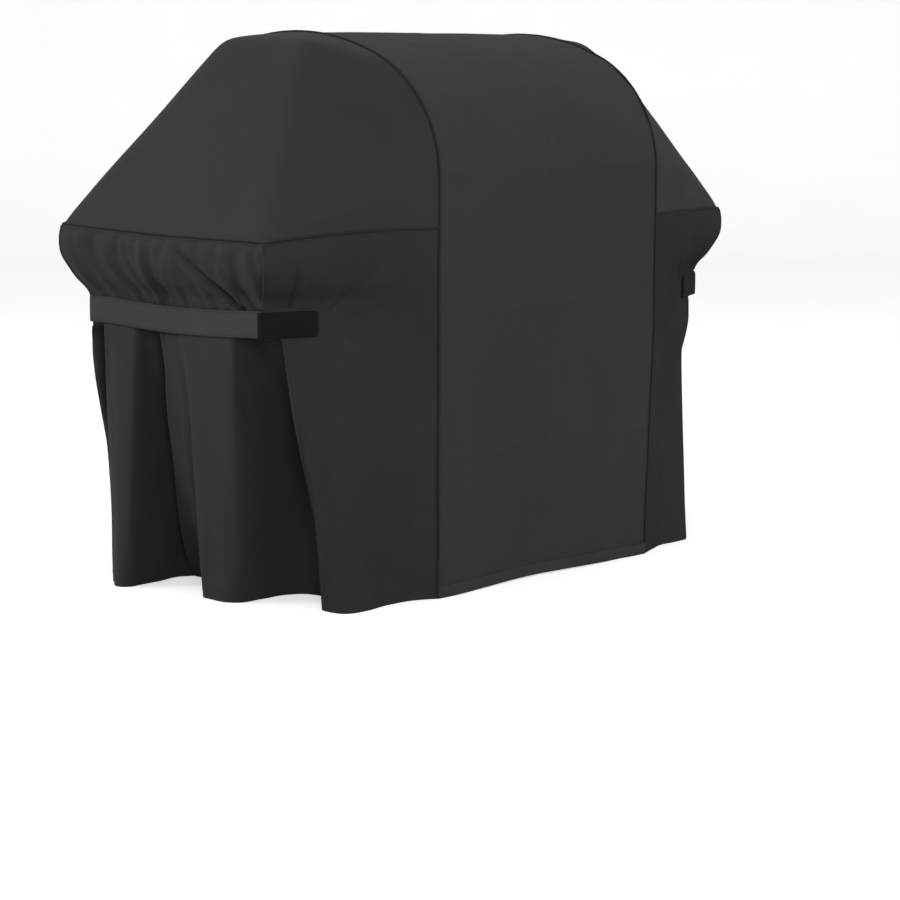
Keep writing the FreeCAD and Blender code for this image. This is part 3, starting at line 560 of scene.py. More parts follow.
def webbing(name, tone, rough=0.7):
    """Flat woven webbing: chevron ribs along its length, U along, V across."""
    chevron, rib_pitch, column_pitch = 0.0032, 0.0013, 0.0016
    g = Shader(name)
    uv, place_ = g.coords()
    u, v = g.split(uv)
    zigzag = g.calc("PINGPONG", g.calc("MULTIPLY", v, 1 / chevron), 1.0)
    slant = g.calc("ADD", g.calc("MULTIPLY", u, 1 / rib_pitch), g.calc("MULTIPLY", zigzag, 0.9))
    rib = g.ripple(slant, math.pi)
    column = g.ripple(v, math.pi / column_pitch)
    height = g.calc("MULTIPLY_ADD", rib, 0.7, g.calc("MULTIPLY", column, 0.45))
    fuzz = g.noise(place_, scale=420.0, detail=3.0, rough=0.7)
    mid = g.noise(place_, scale=22.0, detail=3.0, rough=0.6)
    base = g.mix(g.remap(height, span=(0.2, 0.9)), grey(tone * 0.4), grey(tone * 1.15))
    base = g.mix(g.remap(mid, span=(0.35, 0.7), to=(0, 0.4)), base, grey(tone * 1.5))
    normal = g.bump(height, distance=0.0003, strength=0.8)
    normal = g.bump(fuzz, distance=0.0004, strength=0.35, under=normal)
    g.set(Base_Color=base, Roughness=g.remap(fuzz, to=(rough - 0.08, rough + 0.1)),
          Sheen_Weight=0.03, Specular_IOR_Level=0.14, Normal=normal)
    return g.material


def speckled(name, tone, rough, scale, depth, spec, sheen=0.0):
    """One grain of noise over slow clouds."""
    g = Shader(name)
    place_ = g.coords()[1]
    grain = g.noise(place_, scale=scale, detail=3.0, rough=0.6)
    cloud = g.noise(place_, scale=scale * 0.07, detail=4.0, rough=0.6)
    base = g.mix(g.remap(cloud), grey(tone * 0.7), grey(tone * 1.3))
    base = g.mix(g.remap(grain, span=(0.35, 0.65), to=(0, 0.5)), base, grey(tone * 0.5))
    g.set(Base_Color=base, Roughness=g.remap(grain, to=(rough - 0.06, rough + 0.08)),
          Sheen_Weight=sheen, Specular_IOR_Level=spec,
          Normal=g.bump(grain, distance=depth, strength=0.6))
    return g.material


def thread(name, tone):
    """Twisted bonded thread."""
    g = Shader(name)
    wave = g.node("ShaderNodeTexWave", wave_type="BANDS", bands_direction="DIAGONAL")
    g.put(wave.inputs["Vector"], g.coords()[1])
    wave.inputs["Scale"].default_value = 900.0
    wave.inputs["Distortion"].default_value = 1.0
    twist = wave.outputs["Fac"]
    g.set(Base_Color=g.mix(twist, grey(tone * 0.6), grey(tone * 1.3)), Roughness=0.5,
          Sheen_Weight=0.05, Specular_IOR_Level=0.2,
          Normal=g.bump(twist, distance=0.0001, strength=0.6))
    return g.material


CLOTH = woven("cover_cloth", tone=0.0275)
# painted light: a lighter copy of the cover cloth, its tone set for how lit the front and back skirts
# look rather than a different cloth; it also shines less
SKIRT_PAINTED_LIGHT_CLOTH = woven("skirt_cloth", tone=0.0348, spec=0.02, sheen=0.0)
LINING = coated("cover_lining", tone=0.020)
PIPING = woven("piping_cloth", tone=0.021, yarn=0.0005, rough=0.7, sheen=0.03, spec=0.12, dust=0.2)
TAPE = webbing("seam_tape_weave", tone=0.014, rough=0.75)
STRAP = woven("strap_cloth", tone=0.042, yarn=0.0008, sheen=0.06, depth=0.00025, dust=0.3)
TAB = webbing("tab_webbing", tone=0.0028)
HOOK = speckled("hook_nylon", tone=0.012, rough=0.42, scale=900.0, depth=0.0001, spec=0.5)
LOOP = speckled("loop_pile", tone=0.012, rough=0.9, scale=700.0, depth=0.0009, spec=0.1, sheen=0.12)
THREAD = thread("sewing_thread", tone=0.012)
THREAD_DARK = thread("sewing_thread_dark", tone=0.005)

# ---------------------------------------------------------------- the arch and the seams
# droop: sag of the shelf seam at the front and back corner; front, back: the corners of
# the hem as (reach from x = 0, distance from y = 0)
SIDES = {
    "left": dict(sign=-1, droop=(0.016, 0.001), front=(0.545, 0.256), back=(0.602, 0.292), seed=1),
    "right": dict(sign=1, droop=(0.005, 0.008), front=(0.535, 0.250), back=(0.606, 0.305), seed=2),
}


def arch(run):
    """Point (y, z) on the arch at distance run from the front hem."""
    run = np.asarray(run, float)
    half = np.minimum(run, 2 * HALF_ARCH - run)
    y, z = np.full_like(half, -HALF_DEPTH), half.copy()
    haunch = half > WALL
    angle = (half - WALL) / HAUNCH_RADIUS
    y = np.where(haunch, -HAUNCH_Y - HAUNCH_RADIUS * np.cos(angle), y)
    z = np.where(haunch, WALL + HAUNCH_RADIUS * np.sin(angle), z)
    crown = half > WALL + HAUNCH_ARC
    angle = HAUNCH_ANGLE + (half - WALL - HAUNCH_ARC) / CROWN_RADIUS
    y = np.where(crown, -CROWN_RADIUS * np.cos(angle), y)
    z = np.where(crown, CROWN_Z + CROWN_RADIUS * np.sin(angle), z)
    return np.where(run > HALF_ARCH, -y, y), z


def seam_point(sign, back, z):
    """The arch seam below shelf height: (x, y). Its foot hangs inwards."""
    z = np.asarray(z, float)
    seed = 3 + 2 * back + (sign > 0)
    low = ease(0.55 - z, 0.0, 0.55)
    shift_x = 0.011 * low + 0.0012 * noise1(z, 0.13, seed)
    shift_y = 0.009 * low + 0.0016 * noise1(z, 0.17, seed + 9) * ease(0.7 - z, 0, 0.2)
    start = ease(0.746 - z, 0, 0.1)
    facing = 1 if back else -1
    return sign * (HALF_WIDTH - shift_x * start), facing * (HALF_DEPTH - shift_y * start)


def corner(side, back, z):
    """The skirt's corner seam at nominal height z: (x, y), both signed."""
    spec = SIDES[side]
    hem_x, hem_y = spec["back"] if back else spec["front"]
    # how far the strap draws the corner in
    in_x, in_y = HALF_LENGTH - WAIST_X, HALF_END - WAIST_Y
    # rows of (height, reach, distance from y = 0), falling
    rows = [(SHELF_Z, HALF_LENGTH, HALF_END),
            (0.718, HALF_LENGTH + 0.0045, HALF_END + 0.0020),
            (0.686, HALF_LENGTH + 0.002, HALF_END),
            (0.661, HALF_LENGTH - in_x * 0.22, HALF_END - in_y * 0.20),
            (0.637, HALF_LENGTH - in_x * 0.50, HALF_END - in_y * 0.48),
            (0.612, HALF_LENGTH - in_x * 0.88, HALF_END - in_y * 0.88),
            (WAIST_HIGH, WAIST_X, WAIST_Y)]
    if back:
        below = [(STRAP_MID, -0.001, 0.001), (WAIST_LOW, -0.016, 0.014), (0.515, -0.038, 0.038),
                 (0.475, -0.044, 0.043), (0.42, -0.046, 0.037), (0.37, -0.053, 0.033),
                 (0.30, -0.068, 0.032)]
        foot = [(0.20, 0.030, -0.013), (0.10, 0.011, -0.005), (0.0, 0.0, 0.0)]
    else:
        below = [(STRAP_MID, -0.016, 0.0055), (WAIST_LOW, -0.036, 0.0130),
                 (0.533, -0.040, 0.0150), (0.515, -0.043, 0.0172), (0.49, -0.046, 0.0193)]
        foot = [(0.40, 0.114, 0.001), (0.20, 0.056, 0.001), (0.0, 0.0, 0.0)]
    rows += [(height, WAIST_X + dx, WAIST_Y + dy) for height, dx, dy in below]
    rows += [(height, hem_x + dx, hem_y + dy) for height, dx, dy in foot]
    point = curve(rows, z)
    return spec["sign"] * point[..., 0], (1 if back else -1) * point[..., 1]


def droop(side, part, u):
    """How far the shelf seam sags. part: front or back, u from arch seam to corner;
    or end, u from front to back."""
    front, back = SIDES[side]["droop"]
    u = np.asarray(u, float)
    if part == "end":
        return front + (back - front) * u + 0.003 * np.sin(math.pi * u) ** 2
    return (front if part == "front" else back) * u**2.5


def droop_share(z):
    """How much of the seam's sag is felt at height z."""
    return ease(z, 0.60, SHELF_Z)


def shelf_line(side, part, u):
    """Point on the shelf seam."""
    sign = SIDES[side]["sign"]
    u = np.asarray(u, float)
    back = part == "back"
    if part == "end":
        (x0, y0), (x1, y1) = corner(side, 0, SHELF_Z), corner(side, 1, SHELF_Z)
    else:
        (x0, y0), (x1, y1) = seam_point(sign, back, SHELF_Z), corner(side, back, SHELF_Z)
    x, y = x0 + (x1 - x0) * u, y0 + (y1 - y0) * u
    if part == "end":
        x = x + sign * 0.003 * np.sin(math.pi * u)
    return np.stack([x, y, SHELF_Z - droop(side, part, u)], -1)


def groove(distance, depth=0.0011, width=0.0028):
    """The cloth dips into a seam at this distance."""
    return -depth * bell(distance / width)


def pucker(distance, along, seed, amount=0.0007, pitch=0.021, reach=0.016):
    """Small gathers that a sewn seam leaves beside it."""
    wave = noise1(along, pitch, seed) + 0.5 * noise1(along, pitch * 0.45, seed + 3)
    return amount * wave * np.exp(-distance / reach) * (1 - bell(distance / 0.0015))


def skirt_heights():
    """Heights of the skirt rows: fine by the shelf seam, the strap and the hem."""
    fine = CELL * 0.28
    z = [SHELF_Z - d for d in (0, 0.0013, 0.003, 0.0055, 0.009)]
    z += list(np.arange(SHELF_Z - 0.009 - fine, WAIST_HIGH - 0.01, -fine))
    z += list(np.linspace(WAIST_HIGH - 0.012, WAIST_LOW + 0.004, 7))
    z += list(np.arange(WAIST_LOW, 0.040, -CELL * 0.95))
    z += [0.034, 0.028, 0.0225, 0.017, 0.012, 0.007, 0.0035, 0.0014]
    z = sorted(set(round(v, 6) for v in z), reverse=True)
    keep = [z[0]]
    for value in z[1:]:
        if keep[-1] - value > 0.0009:
            keep.append(value)
    return np.array(keep)


ROW_Z = skirt_heights()


def skirt_row(z):
    """Fractional skirt row at nominal height z."""
    return np.interp(-z, -ROW_Z, np.arange(len(ROW_Z)))


topstitches = Bag()          # thread that rides on the cover


# ---------------------------------------------------------------- centre panel
def centre_panel():
    """Grid from the front hem over the arch to the back hem, and its row distances."""
    rows = refined(2 * HALF_ARCH, CELL, near=(0.0014, 0.0035, 0.007, 0.012, 0.017, 0.0225, 0.028))
    rows = rows[1:-1]
    arch_y, arch_z = arch(rows)
    run, x = np.meshgrid(rows, refined(2 * HALF_WIDTH, CELL) - HALF_WIDTH, indexing="ij")
    y, z = (np.broadcast_to(v[:, None], x.shape).copy() for v in (arch_y, arch_z))
    at_back = run > HALF_ARCH
    grid = np.stack([x, y, z], -1)
    outward = np.zeros_like(grid)
    outward[..., 1] = -np.gradient(arch_z, rows)[:, None]
    outward[..., 2] = np.gradient(arch_y, rows)[:, None]
    # edges follow the seams
    for back, sign in itertools.product((0, 1), (-1, 1)):
        here = (at_back == bool(back)) & (z < SHELF_Z)
        seam_x, seam_y = seam_point(sign, back, np.minimum(z, SHELF_Z))
        share = np.clip(sign * x / HALF_WIDTH, 0, 1)
        move_x = (seam_x - sign * HALF_WIDTH) * share ** 3
        move_y = (seam_y - (HALF_DEPTH if back else -HALF_DEPTH)) * share ** 2
        grid[..., 0] = np.where(here, grid[..., 0] + move_x, grid[..., 0])
        grid[..., 1] = np.where(here, grid[..., 1] + move_y, grid[..., 1])
    middle = 1 - (x / HALF_WIDTH) ** 2
    edge = HALF_WIDTH - np.abs(x)
    low = ease(0.62 - z, 0, 0.62)
    free = ease(middle, 0.0, 0.25)
    # both faces hang free low down: a shallow hollow with soft flutes
    flute = np.where(at_back, np.sin((x + 0.05) * 13.0), np.sin((x - 0.09) * 11.0))
    push = low**1.4 * middle * (-0.017 + 0.0075 * flute)
    # slow unevenness
    push += free * (0.0016 * noise3(grid, (0.30, 0.30, 0.22), 1)
                    + 0.0008 * noise3(grid, (0.11, 0.11, 0.14), 2))
    push += free * low * 0.0022 * noise3(grid, (0.07, 0.2, 0.30), 4)
    # creases from folding, across and down the middle: (height, depth, width)
    for height, depth, width in ((0.575, 0.0011, 0.006), (0.855, 0.0008, 0.006),
                                 (0.285, 0.0010, 0.007)):
        crease = depth * bell((z - height - 0.002 * np.sin(x * 9)) / width)
        push += np.where(z < 0.95, crease, 0) * ease(middle, 0, 0.2)
    push += 0.0007 * bell((x - 0.004 * np.sin(run * 4)) / 0.005) * ease(z, 0.05, 0.3)
    # pull from the arch seams at the haunch
    push += (0.0011 * np.exp(-edge / 0.05) * np.sin(run * 62 + 3 * noise1(run, 0.2, 6))
             * ease(z, 0.80, 0.95) * ease(1.14 - z, 0.0, 0.08))
    push += groove(edge) + np.where(x > 0, pucker(edge, run, 21), pucker(edge, run, 23))
    grid = grid + outward * push[..., None]
    # the hem lifts a little where it swings in
    grid[..., 2] += 0.004 * middle * np.exp(-z / 0.05) * ease(0.2 - z, 0, 0.2)
    grid[..., 2] = np.maximum(grid[..., 2], 0.0026)
    return face_out(grid), rows


def face_out(grid):
    return orient(grid, grid * [0, 1, 1] - [0, 0, 0.5])


def centre_hems(grid, rows):
    """The panel with both hems turned: the front one lies outside, the back one inside."""
    heights = np.minimum(rows, 2 * HALF_ARCH - rows)
    full = hemmed(grid[::-1], heights[::-1])
    full = hemmed(full[::-1], np.concatenate([np.ones(len(full) - len(grid)), heights]))
    return face_out(full)


CENTRE, CENTRE_RUN = centre_panel()


def centre_column(x):
    """Fractional column of the centre panel at x."""
    xs = CENTRE[len(CENTRE) // 2, :, 0]
    order = np.arange(len(xs))
    return np.interp(x, xs, order) if xs[0] < xs[-1] else np.interp(x, xs[::-1], order[::-1])


def centre_row(run):
    """Fractional row of the centre panel at an arch distance."""
    return np.interp(run, CENTRE_RUN, np.arange(len(CENTRE_RUN)))


place(sheet("centre_panel_cloth", centre_hems(CENTRE, CENTRE_RUN), [CLOTH, LINING]),
      "center_panel")

# topstitch beside the arch seams and along both hems
_normal = normals(CENTRE)
for sign in (-1, 1):
    add_stitches(topstitches, *grid_line(CENTRE, np.linspace(0, len(CENTRE) - 1, 2200),
                                         centre_column(sign * (HALF_WIDTH - 0.0065)), _normal))
for run in (HEM_STITCH, 2 * HALF_ARCH - HEM_STITCH):
    add_stitches(topstitches, *grid_line(CENTRE, centre_row(run),
                                         np.linspace(0, CENTRE.shape[1] - 1, 900), _normal))


# ---------------------------------------------------------------- arch piping
def arch_piping(side):
    sign = SIDES[side]["sign"]
    stand_off = 0.0009
    run = np.arange(0.002, 2 * HALF_ARCH - 0.002, 0.0045)
    y, z = arch(run)
    x = np.full_like(run, sign * HALF_WIDTH)
    low = z < SHELF_Z
    for back in (0, 1):
        seam_x, seam_y = seam_point(sign, back, np.minimum(z, SHELF_Z))
        here = low & ((run > HALF_ARCH) == bool(back))
        x, y = np.where(here, seam_x, x), np.where(here, seam_y, y)
    tangent = unit(np.gradient(np.stack([y, z], -1), axis=0))
    path = np.stack([x + 0.0003 * noise1(run, 0.03, 8 + sign), y - tangent[:, 1] * stand_off,
                     z + tangent[:, 0] * stand_off], -1)
    verts, faces, uv = tube_arrays(path, 0.0021)
    return make(f"{side}_arch_piping_cord", verts, faces, [PIPING], None, uv)


for side in SIDES:
    place(arch_piping(side), f"{side}_arch_piping")

# ---------------------------------------------------------------- shoulder panels
# in the right-hand side's coordinates; the left one is mirrored
HOOD_X, HOOD_Y, HOOD_Z = 0.463, 0.110, TOP - 0.0135       # corner of the hood's end edge
CENTRE_IN = np.array([HALF_WIDTH - 0.02, 0.0, SHELF_Z - 0.06])     # inside the shoulder


def taut_planes():
    """Unit normals and distances from CENTRE_IN of the planes of the taut cloth."""
    shelf_front, shelf_back = (np.array([HALF_LENGTH, y, SHELF_Z]) for y in (-HALF_END, HALF_END))
    hood_front, hood_back = (np.array([HOOD_X, y, HOOD_Z]) for y in (-HOOD_Y, HOOD_Y))
    y, z = arch(np.linspace(SHELF_Z, HALF_ARCH, 60))
    rim = np.stack([np.full_like(y, HALF_WIDTH), y, z], -1)

    def overshoot(k):
        """How far the arch stands out of the plane through its point k and the hip."""
        normal = np.cross(hood_front - shelf_front, rim[k] - shelf_front)
        normal /= np.linalg.norm(normal)
        if normal[1] > 0:
            normal = -normal
        return ((rim - shelf_front) @ normal).max()
    touch = min(range(2, 58), key=overshoot)
    triangles = [(rim[k], rim[k + 1], shelf_front if k < touch else hood_front) for k in range(59)]
    triangles.append((rim[touch], hood_front, shelf_front))
    triangles += [tuple(p * np.array([1, -1, 1]) for p in corners) for corners in triangles]
    triangles += [(hood_front, hood_back, shelf_back), (hood_front, shelf_back, shelf_front),
                  (np.array([HALF_WIDTH, 0, TOP]), hood_front, hood_back)]
    plane_normals, distances = [], []
    for a, b, c in triangles:
        normal = np.cross(b - a, c - a)
        length = np.linalg.norm(normal)
        if length < 1e-9:
            continue
        normal /= length
        if normal @ (a - CENTRE_IN) < 0:
            normal = -normal
        plane_normals.append(normal)
        distances.append(normal @ (a - CENTRE_IN))
    return np.array(plane_normals), np.array(distances)


def shoulder(side):
    """Grid from the arch seam (first row) down to the shelf seam (last row)."""
    sign, seed = SIDES[side]["sign"], SIDES[side]["seed"]
    # the arch stands upright at shelf height, so distance along it equals height there
    count = int(2 * (HALF_ARCH - SHELF_Z) / CELL)
    run = np.linspace(SHELF_Z, 2 * HALF_ARCH - SHELF_Z, count + 1)
    y, z = arch(run)
    top_edge = np.stack([np.full_like(y, HALF_WIDTH), y, z], -1)
    plane_normals, distances = taut_planes()

    # the bottom edge, matched to the arch by share of length: nominal, and as it sags
    flank = math.hypot(HALF_LENGTH - HALF_WIDTH, HALF_DEPTH - HALF_END)
    total = 2 * flank + 2 * HALF_END
    nominal, sagging = np.zeros_like(top_edge), np.zeros_like(top_edge)
    for i, spot in enumerate((run - run[0]) / (run[-1] - run[0]) * total):
        if spot <= flank:
            part, u = "front", spot / flank
            x, y = u, -HALF_DEPTH + (HALF_DEPTH - HALF_END) * u
        elif spot <= flank + 2 * HALF_END:
            part, u = "end", (spot - flank) / (2 * HALF_END)
            x, y = 1, -HALF_END + 2 * HALF_END * u
        else:
            part, u = "back", (total - spot) / flank
            x, y = u, HALF_DEPTH - (HALF_DEPTH - HALF_END) * u
        nominal[i] = [HALF_WIDTH + (HALF_LENGTH - HALF_WIDTH) * x, y, SHELF_Z]
        sagging[i] = shelf_line(side, part, u) * np.array([sign, 1, 1])

    # rays from CENTRE_IN swing from one edge to the other and stop at the nearest plane
    rib = np.linalg.norm(top_edge - nominal, axis=1).max()
    t = refined(1.0, 1.0 / int(rib / (CELL * 1.05)), near=(0.0035, 0.008, 0.015, 0.024))
    ray_top, ray_low = unit(top_edge - CENTRE_IN), unit(nominal - CENTRE_IN)
    angle = np.arccos(np.clip((ray_top * ray_low).sum(1), -1, 1))[:, None]
    turned, divisor = angle > 1e-6, np.maximum(np.sin(angle), 1e-9)
    grid = np.zeros((len(t), len(run), 3))
    for i, share in enumerate(t):
        top_weight = np.where(turned, np.sin((1 - share) * angle) / divisor, 1 - share)
        low_weight = np.where(turned, np.sin(share * angle) / divisor, share)
        ray = unit(top_weight * ray_top + low_weight * ray_low)
        facing = ray @ plane_normals.T
        reach = np.where(facing > 1e-9, distances[None] / np.maximum(facing, 1e-9), 1e9).min(1)
        grid[i] = CENTRE_IN + ray * reach[:, None]
    grid[0], grid[-1] = top_edge, nominal
    # the cloth rounds where it goes over a hip ridge
    for _ in range(int((0.018 / CELL) ** 2 * 2)):
        average = (grid[:-2, 1:-1] + grid[2:, 1:-1] + grid[1:-1, :-2] + grid[1:-1, 2:]) / 4
        grid[1:-1, 1:-1] += 0.5 * (average - grid[1:-1, 1:-1])
    grid += (sagging - nominal)[None] * (t[:, None, None] ** 2.2)
    outward = normals(grid)
    if (outward * (grid - CENTRE_IN)).sum() < 0:
        outward = -outward

    from_arch = np.linalg.norm(grid - grid[0:1], axis=-1)
    from_shelf = np.linalg.norm(grid - grid[-1:], axis=-1)
    free = ease(np.minimum(from_arch, from_shelf), 0.0, 0.05)
    push = free * (0.0022 * noise3(grid, (0.22, 0.20, 0.22), 30 + seed)
                   + 0.0010 * noise3(grid, (0.09, 0.10, 0.09), 40 + seed))
    # long shallow pulls from the corners up towards the hood
    for facing, phase in ((-1, 1), (1, 2)):
        away = grid - np.array([HALF_LENGTH, facing * HALF_END, SHELF_Z])
        angle = np.arctan2(away[..., 2], -away[..., 1] * facing * 0.6 - 0.8 * away[..., 0])
        reach = np.linalg.norm(away, axis=-1)
        push += (0.0007 * np.sin(angle * 21 + phase + seed)
                 * ease(reach, 0.02, 0.12) * ease(0.42 - reach, 0, 0.3) * free)
    # the cloth dips a little between the hood and the shelf
    push += (-0.0035 * np.sin(math.pi * t)[:, None] ** 2
             * np.exp(-((grid[..., 1] / 0.24) ** 4)) * free)
    along = np.broadcast_to(run[None], push.shape)
    push += (groove(from_arch) + groove(from_shelf) + pucker(from_arch, along, 50 + seed)
             + pucker(from_shelf, along * 1.1, 55 + seed))
    push[:, 0] = push[:, -1] = 0
    grid = grid + outward * push[..., None]
    grid[..., 0] *= sign
    return orient(grid, grid - CENTRE_IN * [sign, 0, 1])


for side in SIDES:
    place(sheet(f"{side}_shoulder_cloth", shoulder(side), [CLOTH, LINING], weld=True),
          f"{side}_shoulder_panel")

# ---------------------------------------------------------------- end skirts
# hem of one end, front corner to back corner: (reach, y, share of the width at the strap)
FOLDS = {
    "left": [
        (0.518, -0.242, 0.030), (0.497, -0.212, 0.055), (0.488, -0.172, 0.090),
        (0.496, -0.134, 0.130), (0.534, -0.111, 0.150), (0.590, -0.108, 0.160),
        (0.640, -0.103, 0.172), (0.658, -0.080, 0.205), (0.661, -0.045, 0.320),
        (0.656, -0.008, 0.430), (0.622, 0.004, 0.460), (0.575, 0.030, 0.474),
        (0.530, 0.070, 0.492), (0.497, 0.115, 0.518), (0.487, 0.150, 0.558),
        (0.496, 0.178, 0.600), (0.522, 0.187, 0.636), (0.556, 0.186, 0.664),
        (0.592, 0.186, 0.690), (0.634, 0.186, 0.716), (0.668, 0.188, 0.742),
        (0.680, 0.208, 0.820), (0.660, 0.243, 0.900), (0.626, 0.280, 0.960)],
    "right": [
        (0.510, -0.236, 0.030), (0.490, -0.205, 0.060), (0.484, -0.165, 0.100),
        (0.498, -0.118, 0.150), (0.545, -0.092, 0.180), (0.612, -0.090, 0.196),
        (0.650, -0.074, 0.240), (0.662, -0.012, 0.370), (0.652, 0.032, 0.460),
        (0.606, 0.056, 0.490), (0.520, 0.074, 0.510), (0.484, 0.118, 0.550),
        (0.490, 0.166, 0.600), (0.525, 0.196, 0.630), (0.580, 0.203, 0.650),
        (0.640, 0.205, 0.680), (0.668, 0.220, 0.760), (0.664, 0.250, 0.860),
        (0.634, 0.288, 0.950)],
}
# pleats that open at the strap: (share at the strap, half width, how fast)
SLOTS = {
    "left": [(0.060, 0.110, 3.4), (0.670, 0.070, 3.2), (0.535, 0.060, 0.62), (0.976, 0.046, 5.0)],
    "right": [(0.070, 0.115, 3.0), (0.610, 0.060, 2.4)],
}
# creases drawn up from the strap:
# (share at the top, height at the top, share at the strap, depth, width)
CREASES = {
    "left": [
        (0.425, 0.716, 0.145, 0.0092, 0.0068), (0.235, 0.712, 0.072, 0.0060, 0.0075),
        (0.065, 0.722, -0.012, 0.0055, 0.0065), (0.770, 0.712, 0.705, 0.0065, 0.0075),
        (0.690, 0.742, 0.640, 0.0040, 0.0080), (0.565, 0.722, 0.592, 0.0060, 0.0090),
        (0.478, 0.722, 0.548, -0.0042, 0.0090), (0.600, 0.745, 0.560, 0.0030, 0.0100),
        (0.850, 0.742, 0.830, 0.0036, 0.0090), (0.330, 0.745, 0.290, 0.0032, 0.0100),
        (0.165, 0.742, 0.125, 0.0034, 0.0080), (0.930, 0.720, 0.925, 0.0032, 0.0075),
        (0.380, 0.650, 0.340, 0.0028, 0.0060), (0.455, 0.640, 0.440, 0.0026, 0.0055)],
    "right": [
        (0.620, 0.712, 0.850, -0.0080, 0.0080), (0.860, 0.712, 0.940, -0.0055, 0.0075),
        (0.250, 0.712, 0.300, -0.0055, 0.0080), (0.120, 0.740, 0.080, 0.0040, 0.0080),
        (0.450, 0.722, 0.410, 0.0052, 0.0100), (0.720, 0.742, 0.750, -0.0036, 0.0090),
        (0.340, 0.742, 0.355, 0.0032, 0.0090), (0.550, 0.742, 0.565, -0.0032, 0.0090),
        (0.190, 0.650, 0.170, 0.0028, 0.0060)],
}
# soft gathers under the shelf seam: (share, depth)
GATHERS = {
    "left": [(0.830, 0.0042), (0.705, 0.0046), (0.610, 0.0044), (0.545, 0.0030), (0.400, 0.0040),
             (0.310, 0.0024), (0.225, 0.0042), (0.120, 0.0026), (0.040, 0.0036), (0.925, 0.0028)],
    "right": [(0.140, 0.0040), (0.240, 0.0030), (0.330, 0.0044), (0.450, 0.0028), (0.560, 0.0042),
              (0.640, 0.0030), (0.760, 0.0044), (0.870, 0.0034), (0.060, 0.0030)],
}


def end_plan(side, z, share, hem_share, hem):
    """Plan (reach, y) of every point of the folded end, before its small relief."""
    front, back = corner_edge(side, 0), corner_edge(side, 1)
    straight = front + (back - front) * share[..., None]
    # at the strap the end is flat, and only its front edge follows the corner seam
    waist = np.stack([np.full_like(share, WAIST_X), -WAIST_Y + 2 * WAIST_Y * share], -1)
    wrap = np.clip(1 - share / 0.075, 0, 1)[..., None] ** 1.5
    waist = waist * (1 - wrap) + front * wrap
    blend = ease(WAIST_HIGH - z, 0, WAIST_HIGH - WAIST_LOW)[..., None]
    upper = straight * (1 - blend) + waist * blend
    # below it the waist shape is carried down to the hem shape
    fall = np.clip((WAIST_LOW - z) / WAIST_LOW, 0, 1) ** 0.93
    lower = waist * (1 - fall[..., None]) + hem[None] * fall[..., None]
    slot_top = WAIST_LOW + 0.028
    drop = np.clip((slot_top - z) / slot_top, 0, 1)
    for centre, half_width, speed in SLOTS[side]:
        inside = 1 - ease(np.abs(share - centre), half_width * 0.55, half_width * 1.1)
        dip = inside * (1 - (1 - drop) ** speed - fall) * (hem[None, :, 0] - WAIST_X)
        lower[..., 0] += dip
        upper[..., 0] += np.where(z < slot_top, dip, 0)
    if side == "left":      # a nick beside the back corner, under the strap
        nick = (bell((share - 0.966) / 0.017) * ease(WAIST_LOW + 0.006 - z, 0, 0.020)
                * ease(z, 0.30, 0.42))
        lower[..., 0] += -0.044 * nick
        lower[..., 1] += 0.012 * nick
    plan = np.where(z[..., None] >= WAIST_LOW, upper, lower)
    # both edges lie on the corner seams
    front_gap, back_gap = front[:, 0] - plan[:, 0], back[:, 0] - plan[:, -1]
    return (plan + front_gap[:, None] * (1 - ease(hem_share, 0, 0.022))[..., None]
            + back_gap[:, None] * ease(hem_share, 0.962, 1.0)[..., None])


def corner_edge(side, back):
    """The corner seam at every skirt row, as (reach, y)."""
    x, y = corner(side, back, ROW_Z)
    return np.stack([SIDES[side]["sign"] * x, y], -1)[:, None]


